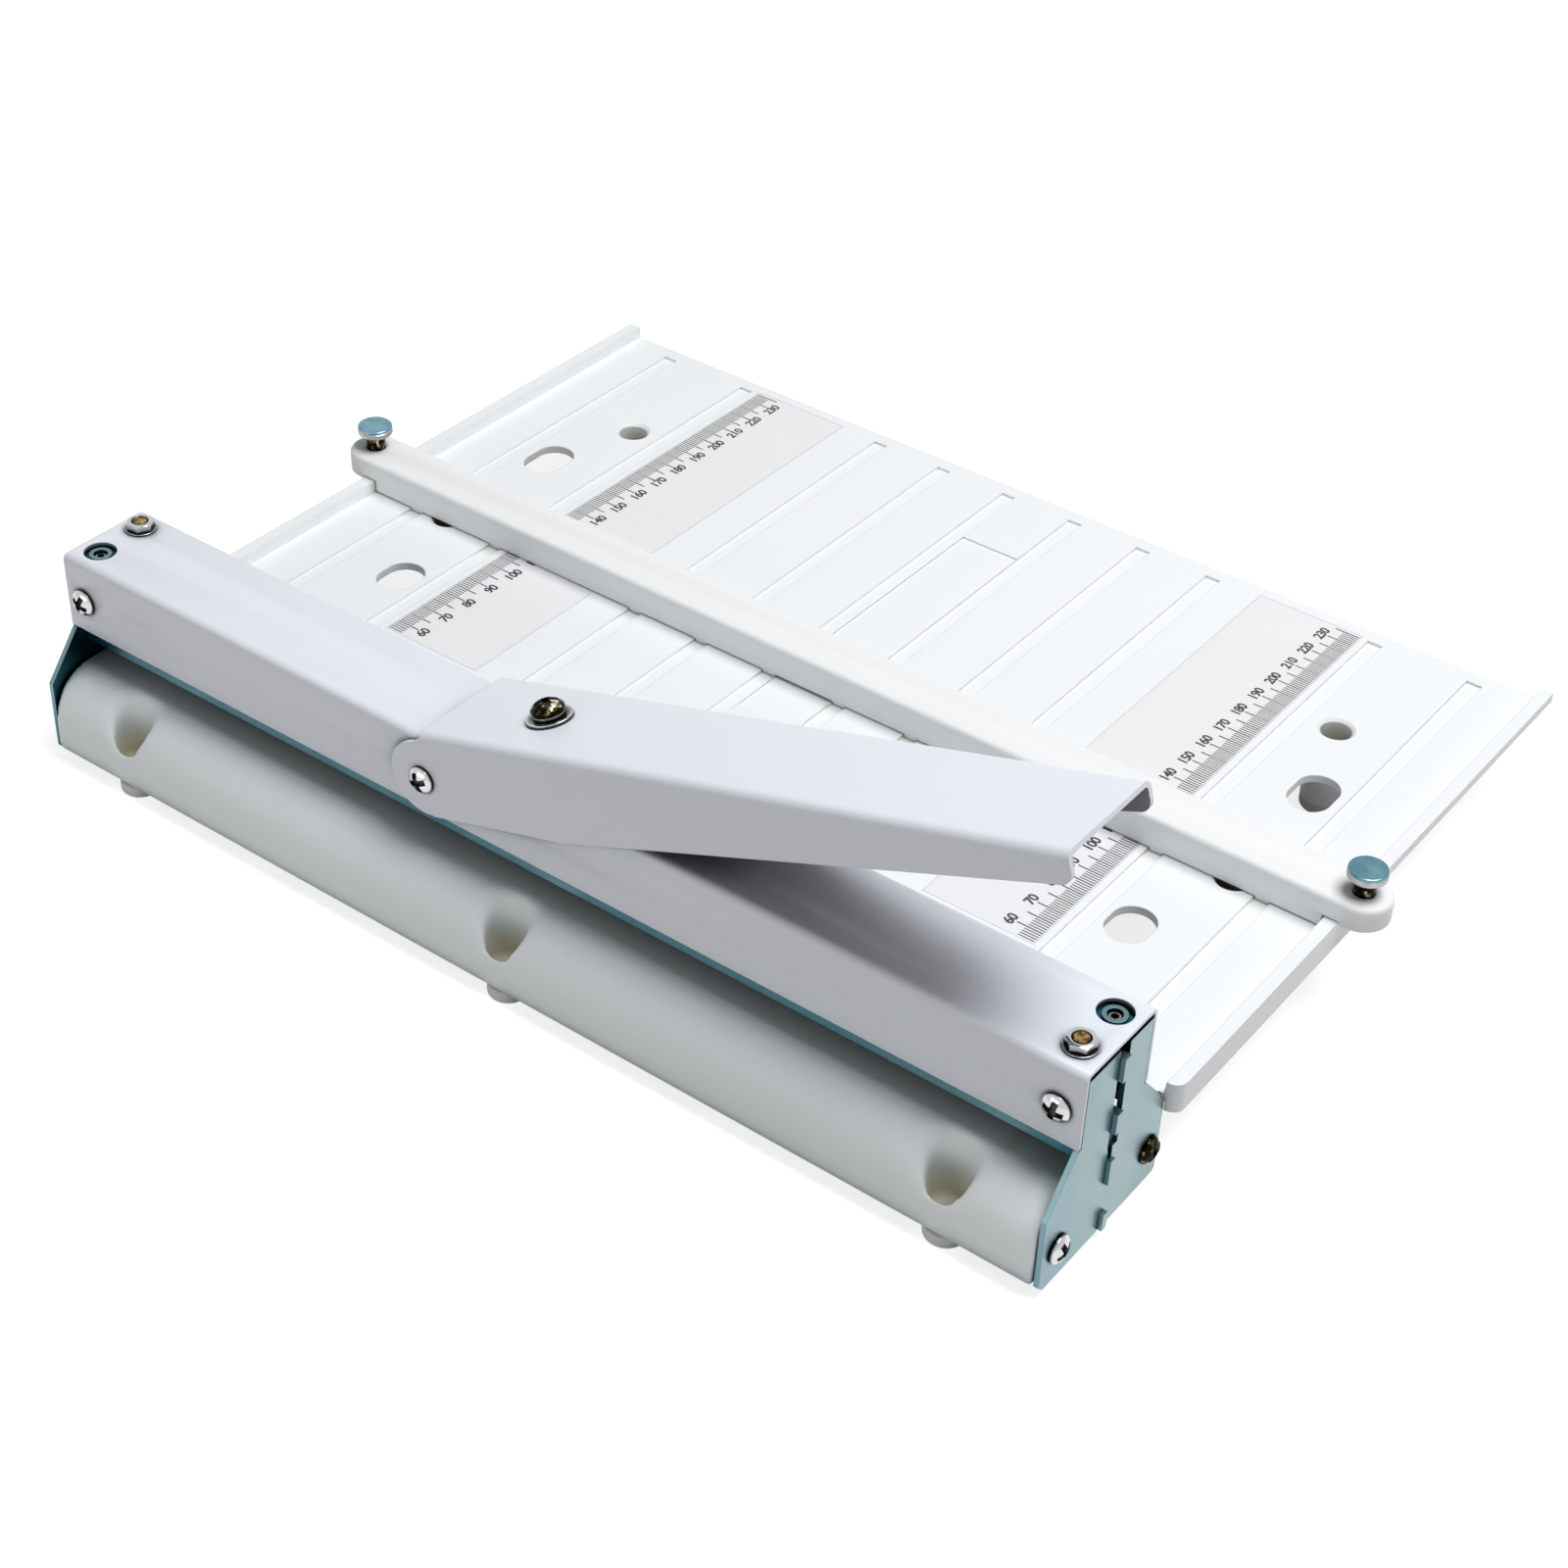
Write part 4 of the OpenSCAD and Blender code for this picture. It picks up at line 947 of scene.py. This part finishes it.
def knurled_head(radius, thickness, ribs=60, depth=0.14):
    """A thumb screw's head: fine ribs round a rim, with a rounded top edge and a chamfered lower one."""
    lower = [(0, 0), (SHANK_R + HEAD_BOSS, 0)] + [(radius - inset, h) for inset, h in HEAD_CHAMFER]
    ribbed = [(radius, KNURL_LOW), (radius, thickness - KNURL_UNDER_TOP)]
    groove_r = radius - GROOVE_INSET
    upper = [(groove_r, thickness - GROOVE_UNDER_TOP), (groove_r, thickness - RIM_UNDER_TOP)]
    upper += arc((radius - TOP_INSET, thickness - TOP_ROUND), TOP_ROUND, 8, 90, 6)
    upper += [(radius * 0.5, thickness), (0, thickness)]
    bm = bmesh.new()
    rings = []
    for points, rib in ((lower, 0), (ribbed, depth), (upper, 0)):
        for r, h in points:
            turns = circle(2 * ribs) if r else [(0, 0)]
            own = [r - rib * (i % 2) for i in range(len(turns))]
            rings.append([bm.verts.new((o * c, o * s, h)) for o, (c, s) in zip(own, turns)])
    join_rings(bm, rings)
    for face in bm.faces:
        if 0 < face.calc_center_median().z < thickness - RIM_UNDER_TOP:
            face.material_index = 1
    return painted(to_mesh(bm), blue, spring)


def thumb_screw(side):
    """A thumb screw of the fence: its knurled head, its shank and its eccentric pin."""
    collar_r = SHANK_R + COLLAR
    shank_top = THUMB_LOW + OVERLAP
    shank = [(0, SHANK_LOW), (SHANK_R, SHANK_LOW), (SHANK_R, THUMB_LOW - COLLAR_H), (collar_r, THUMB_LOW)]
    shank += [(collar_r, shank_top), (0, shank_top)]
    pin_top = SHANK_LOW + OVERLAP
    pin = [(0, CAM_LOW), (CAM_R - CAM_BEVEL, CAM_LOW), (CAM_R, CAM_LOW + CAM_BEVEL)]
    pin += [(CAM_R, pin_top), (0, pin_top)]
    parts = [(knurled_head(THUMB_R, THUMB_T), seat((side * THUMB_X, THUMB_Y, THUMB_LOW), UP))]
    parts.append((painted(lathe(shank), chrome), seat((side * THUMB_X, THUMB_Y, 0), UP)))
    parts.append((painted(lathe(pin, 32), blue), seat((side * (THUMB_X + CAM_OFF), THUMB_Y, 0), UP)))
    end = "left" if side < 0 else "right"
    piece(f"thumb_knob_{end}", gather(parts), f"thumb_{end}", [f"thumb_screw_{end}"])


for side in (-1, 1):
    thumb_screw(side)


# Printed rulers: marks and plain numbers just above the labels

TICK_OUT = 112.9
TICK_IN = 107.9
LONG_TICK_IN = 104.95
TICK_W = 0.34
LONG_TICK_W = 0.42
FIRST_MARK = 56
LAST_MARK = 235
DIGIT_X = 103.1
DIGIT_H = 2.95
DIGIT_H_SHARE = 0.7
DIGIT_GROWTH = 0.13
DIGIT_SPACING = 0.94
LAST_NUMBER = 230
PRINT_LIFT = 0.03
PRINT_T = 0.02


def digits(text):
    """The mesh of a plain number, DIGIT_H high, centred on zero, in millimetres."""
    curve = bpy.data.curves.new("digits", "FONT")
    curve.body = text
    curve.size = DIGIT_H / DIGIT_H_SHARE
    curve.offset = DIGIT_GROWTH
    curve.space_character = DIGIT_SPACING
    curve.align_x = "CENTER"
    curve.align_y = "CENTER"
    curve.resolution_u = 4
    curve.extrude = PRINT_T / 2
    return painted(evaluated(link_object("digits", curve)), ink)


def bar(x0, x1, y, width):
    """A printed mark along X, in millimetres."""
    outline = [(x0, y - width / 2), (x1, y - width / 2), (x1, y + width / 2), (x0, y + width / 2)]
    return painted(prism(outline, PRINT_LIFT, PRINT_LIFT + PRINT_T), ink)


def ruler_print(side):
    """The marks and numbers of one ruler."""
    parts = []
    in_machine = Matrix.Scale(MM, 4) @ Matrix.Translation(MACHINE_ORIGIN)
    for mark in range(FIRST_MARK, LAST_MARK + 1):
        long = mark % 5 == 0
        inner = LONG_TICK_IN if long else TICK_IN
        ends = sorted((side * inner, side * TICK_OUT))
        parts.append((bar(*ends, mark, LONG_TICK_W if long else TICK_W), in_machine))
        if mark % 10 == 0 and mark <= LAST_NUMBER:
            stand = Matrix.Translation((side * DIGIT_X, mark, PRINT_LIFT + PRINT_T / 2))
            turn = Matrix.Rotation(math.pi / 2, 4, "Z")
            parts.append((digits(str(mark)), in_machine @ stand @ turn))
    end = "left" if side < 0 else "right"
    piece(f"ruler_print_{end}", gather(parts), "base")


for side in (-1, 1):
    ruler_print(side)


# Shroud: remeshed so that the lips of its wells are soft

WELL_R = 5.2
WELL_Y = -20.6
WELL_PITCH = 139.5
WELL_FLOOR = -19.5
WELL_EDGE = 8.6
LIP_REACH = 6.5
LIP_OVER_FLOOR = 3
LIP_FACTOR = 0.6
LIP_ROUNDS = 60
EVEN_FACTOR = 0.5
EVEN_ROUNDS = 3
SHROUD_SHARP_DEGREES = 55
VOXEL = 0.8
MOUTH_SPREAD = 0.18
MOUTH_OVER_FLOOR = 1
MOUTH_FADE_FROM = 8.0
MOUTH_FADE_TO = 17.0
MOUTH_TOP = -6.0


def at_well(point):
    """A point's (x off the axis, distance from the axis, height) at the nearest well, in millimetres."""
    x, y, z = point / MM - MACHINE_ORIGIN
    off = x - WELL_PITCH * round(x / WELL_PITCH)
    return off, math.hypot(off, y - WELL_Y), z


def lip_weight(point):
    """1 at a well's lip, falling to 0 at LIP_REACH millimetres from it."""
    off, away, height = at_well(point)
    if height < WELL_FLOOR + LIP_OVER_FLOOR:
        return 0.0
    return max(0.0, 1 - abs(away - WELL_R) / LIP_REACH)


def fade(value, low, high):
    """0 at low, 1 at high, smooth between."""
    t = min(1.0, max(0.0, (value - low) / (high - low)))
    return t * t * (3 - 2 * t)


def open_mouth(point):
    """Widens a well along the shroud towards its mouth; the shroud's outer curve stays."""
    off, away, height = at_well(point)
    high = fade(height, WELL_FLOOR + MOUTH_OVER_FLOOR, MOUTH_TOP)
    share = MOUTH_SPREAD * high * (1 - fade(away, MOUTH_FADE_FROM, MOUTH_FADE_TO))
    return point + Vector((off * share * MM, 0, 0))


def shroud_shell():
    """The shroud, remeshed, with wide soft mouths and an attribute that marks its wells for their painted
    shade.
    """
    source = link_object("shroud_source", nodes["front_shroud"].data.copy())
    add_group(source, clean_group)
    voxels = source.modifiers.new("voxels", "REMESH")
    voxels.mode = "VOXEL"
    voxels.voxel_size = VOXEL * MM
    mesh = evaluated(source)
    shell = link_object("shroud_rough", mesh)
    lips = shell.vertex_groups.new(name="lips")
    for vertex in mesh.vertices:
        weight = lip_weight(vertex.co)
        if weight:
            lips.add([vertex.index], weight, "REPLACE")
        vertex.co = open_mouth(vertex.co)
    even = shell.modifiers.new("even", "SMOOTH")
    even.factor = EVEN_FACTOR
    even.iterations = EVEN_ROUNDS
    soft = shell.modifiers.new("soft_lips", "SMOOTH")
    soft.factor = LIP_FACTOR
    soft.iterations = LIP_ROUNDS
    soft.vertex_group = "lips"
    made = painted(evaluated(shell), shroud_white)
    wells = made.attributes.new(WELL_ATTRIBUTE, "FLOAT", "POINT")
    for vertex, value in zip(made.vertices, wells.data):
        value.value = 1 - fade(at_well(vertex.co)[1], WELL_R, WELL_EDGE)
    piece("shroud_shell", made, "base", ["front_shroud"], SHROUD_SHARP_DEGREES)


shroud_shell()


# CAD nodes that stay

dress("beam", paint, bevel_mm=0.18)
dress("lever", shaded_lever_paint)
dress("side_plate_left", shaded_zinc)
dress("side_plate_right", zinc)
dress("anvil", lightly_shaded_zinc)
dress("press_channel", shaded_zinc)
dress("crease_blade", lightly_shaded_zinc)
dress("bed", plastic)
dress("fence", fence_plastic, bevel_mm=0.25)
dress("ruler_scale_left", label)
dress("ruler_scale_right", label)
dress("front_feet", rubber, bevel_mm=0.2)
dress("rear_feet", rubber, bevel_mm=0.2)
dress("lever_pivot_nuts", steel, bevel_mm=0.15)
dress("push_pad", nylon, bevel_mm=0.2)


# Floor, world and lamps

WORLD_LEVEL = 0.15
FLOOR_ALBEDO = (0.62, 0.62, 0.612)
FLOOR_LIFT = 0.78
FLOOR_FAR_LIFT = 1.0
FLOOR_NEAR = 0.45
FLOOR_FAR = 1.3
FLOOR_HALF = 6.0


def camera_glossy_transmission(tree):
    """1 for rays that see the background: from the camera, in a gloss or through glass."""
    path = tree.nodes.new("ShaderNodeLightPath")
    total = path.outputs["Is Camera Ray"]
    for name in ("Is Glossy Ray", "Is Transmission Ray"):
        either = tree.nodes.new("ShaderNodeMath")
        either.operation = "MAXIMUM"
        tree.links.new(total, either.inputs[0])
        tree.links.new(path.outputs[name], either.inputs[1])
        total = either.outputs["Value"]
    return total


def make_world():
    """White where it is seen, and a weak light from all sides elsewhere."""
    world = bpy.data.worlds.new("soft_studio")
    bpy.context.scene.world = world
    world.use_nodes = True
    tree = world.node_tree
    background = tree.nodes["Background"]
    background.inputs["Color"].default_value = (1, 1, 1, 1)
    strength = tree.nodes.new("ShaderNodeMapRange")
    strength.inputs["To Min"].default_value = WORLD_LEVEL
    strength.inputs["To Max"].default_value = 1.0
    tree.links.new(camera_glossy_transmission(tree), strength.inputs["Value"])
    tree.links.new(strength.outputs["Result"], background.inputs["Strength"])


def make_floor():
    """A pale matte floor, lifted to the background's white where it is seen from above."""
    bm = bmesh.new()
    corners = [(-1, -1), (1, -1), (1, 1), (-1, 1)]
    bm.faces.new([bm.verts.new((x * FLOOR_HALF, y * FLOOR_HALF, 0)) for x, y in corners])
    mesh = to_mesh(bm)
    floor = link_object("floor", mesh)
    material = bpy.data.materials.new("pale_floor")
    material.use_nodes = True
    tree = material.node_tree
    tree.nodes.remove(tree.nodes["Principled BSDF"])
    matte = tree.nodes.new("ShaderNodeBsdfDiffuse")
    matte.inputs["Color"].default_value = (*FLOOR_ALBEDO, 1)
    lift = tree.nodes.new("ShaderNodeEmission")
    add = tree.nodes.new("ShaderNodeAddShader")
    level = tree.nodes.new("ShaderNodeMath")
    level.operation = "MULTIPLY"
    coords = tree.nodes.new("ShaderNodeTexCoord")
    away = tree.nodes.new("ShaderNodeVectorMath")
    away.operation = "LENGTH"
    tree.links.new(coords.outputs["Object"], away.inputs[0])
    spread = tree.nodes.new("ShaderNodeMapRange")
    spread.interpolation_type = "SMOOTHSTEP"
    spread.inputs["From Min"].default_value = FLOOR_NEAR
    spread.inputs["From Max"].default_value = FLOOR_FAR
    spread.inputs["To Min"].default_value = FLOOR_LIFT
    spread.inputs["To Max"].default_value = FLOOR_FAR_LIFT
    tree.links.new(away.outputs["Value"], spread.inputs["Value"])
    tree.links.new(spread.outputs["Result"], level.inputs[1])
    tree.links.new(camera_glossy_transmission(tree), level.inputs[0])
    tree.links.new(level.outputs["Value"], lift.inputs["Strength"])
    tree.links.new(matte.outputs["BSDF"], add.inputs[0])
    tree.links.new(lift.outputs["Emission"], add.inputs[1])
    # Seen from under it the floor is clear, so that the object's underside shows
    sides = tree.nodes.new("ShaderNodeMixShader")
    facing = tree.nodes.new("ShaderNodeNewGeometry")
    clear = tree.nodes.new("ShaderNodeBsdfTransparent")
    tree.links.new(facing.outputs["Backfacing"], sides.inputs["Fac"])
    tree.links.new(add.outputs["Shader"], sides.inputs[1])
    tree.links.new(clear.outputs["BSDF"], sides.inputs[2])
    tree.links.new(sides.outputs["Shader"], tree.nodes["Material Output"].inputs["Surface"])
    painted(mesh, material)


def lamp(name, place, aim, size, power):
    """A rectangular area lamp; lengths in metres, power in watts."""
    light = bpy.data.lights.new(name, "AREA")
    light.shape = "RECTANGLE"
    light.size, light.size_y = size
    light.energy = power
    holder = link_object(name, light)
    holder.location = place
    holder.rotation_euler = (Vector(aim) - Vector(place)).to_track_quat("-Z", "Y").to_euler()


make_world()
make_floor()
lamp("overhead_softbox", place=(0.40, 0.20, 1.41), aim=(0, 0, 0), size=(1.0, 0.7), power=19.5)
lamp("front_softbox", place=(-0.35, -1.50, 0.50), aim=(-0.05, 0, 0.02), size=(1.2, 0.5), power=3.1)


# Camera at the photograph's viewing angle

CAMERA_PLACE = Vector((0.37940, -0.54035, 0.49771))
CAMERA_AIM = Vector((0.02553, -0.04283, 0.030))
CAMERA_ROLL = math.radians(-2.377)
IMAGE_SIZE = 1600
PRINCIPAL_POINT = (798.52, 802.78)
SENSOR_MM = 36
LENS_MM = 64.673


def make_camera():
    """The pinhole camera that was fitted to the photograph."""
    forward = (CAMERA_AIM - CAMERA_PLACE).normalized()
    level = forward.cross(UP).normalized()
    right = Matrix.Rotation(CAMERA_ROLL, 3, forward) @ level
    up = right.cross(forward)
    turn = Matrix((right, up, -forward)).transposed().to_4x4()
    data = bpy.data.cameras.new("photo_camera")
    data.sensor_fit = "HORIZONTAL"
    data.sensor_width = SENSOR_MM
    data.lens = LENS_MM
    data.shift_x = 0.5 - PRINCIPAL_POINT[0] / IMAGE_SIZE
    data.shift_y = PRINCIPAL_POINT[1] / IMAGE_SIZE - 0.5
    data.clip_start = 0.01
    camera = link_object("photo_camera", data)
    camera.matrix_world = Matrix.Translation(CAMERA_PLACE) @ turn
    bpy.context.scene.camera = camera


make_camera()
bpy.context.scene.view_settings.view_transform = "Standard"
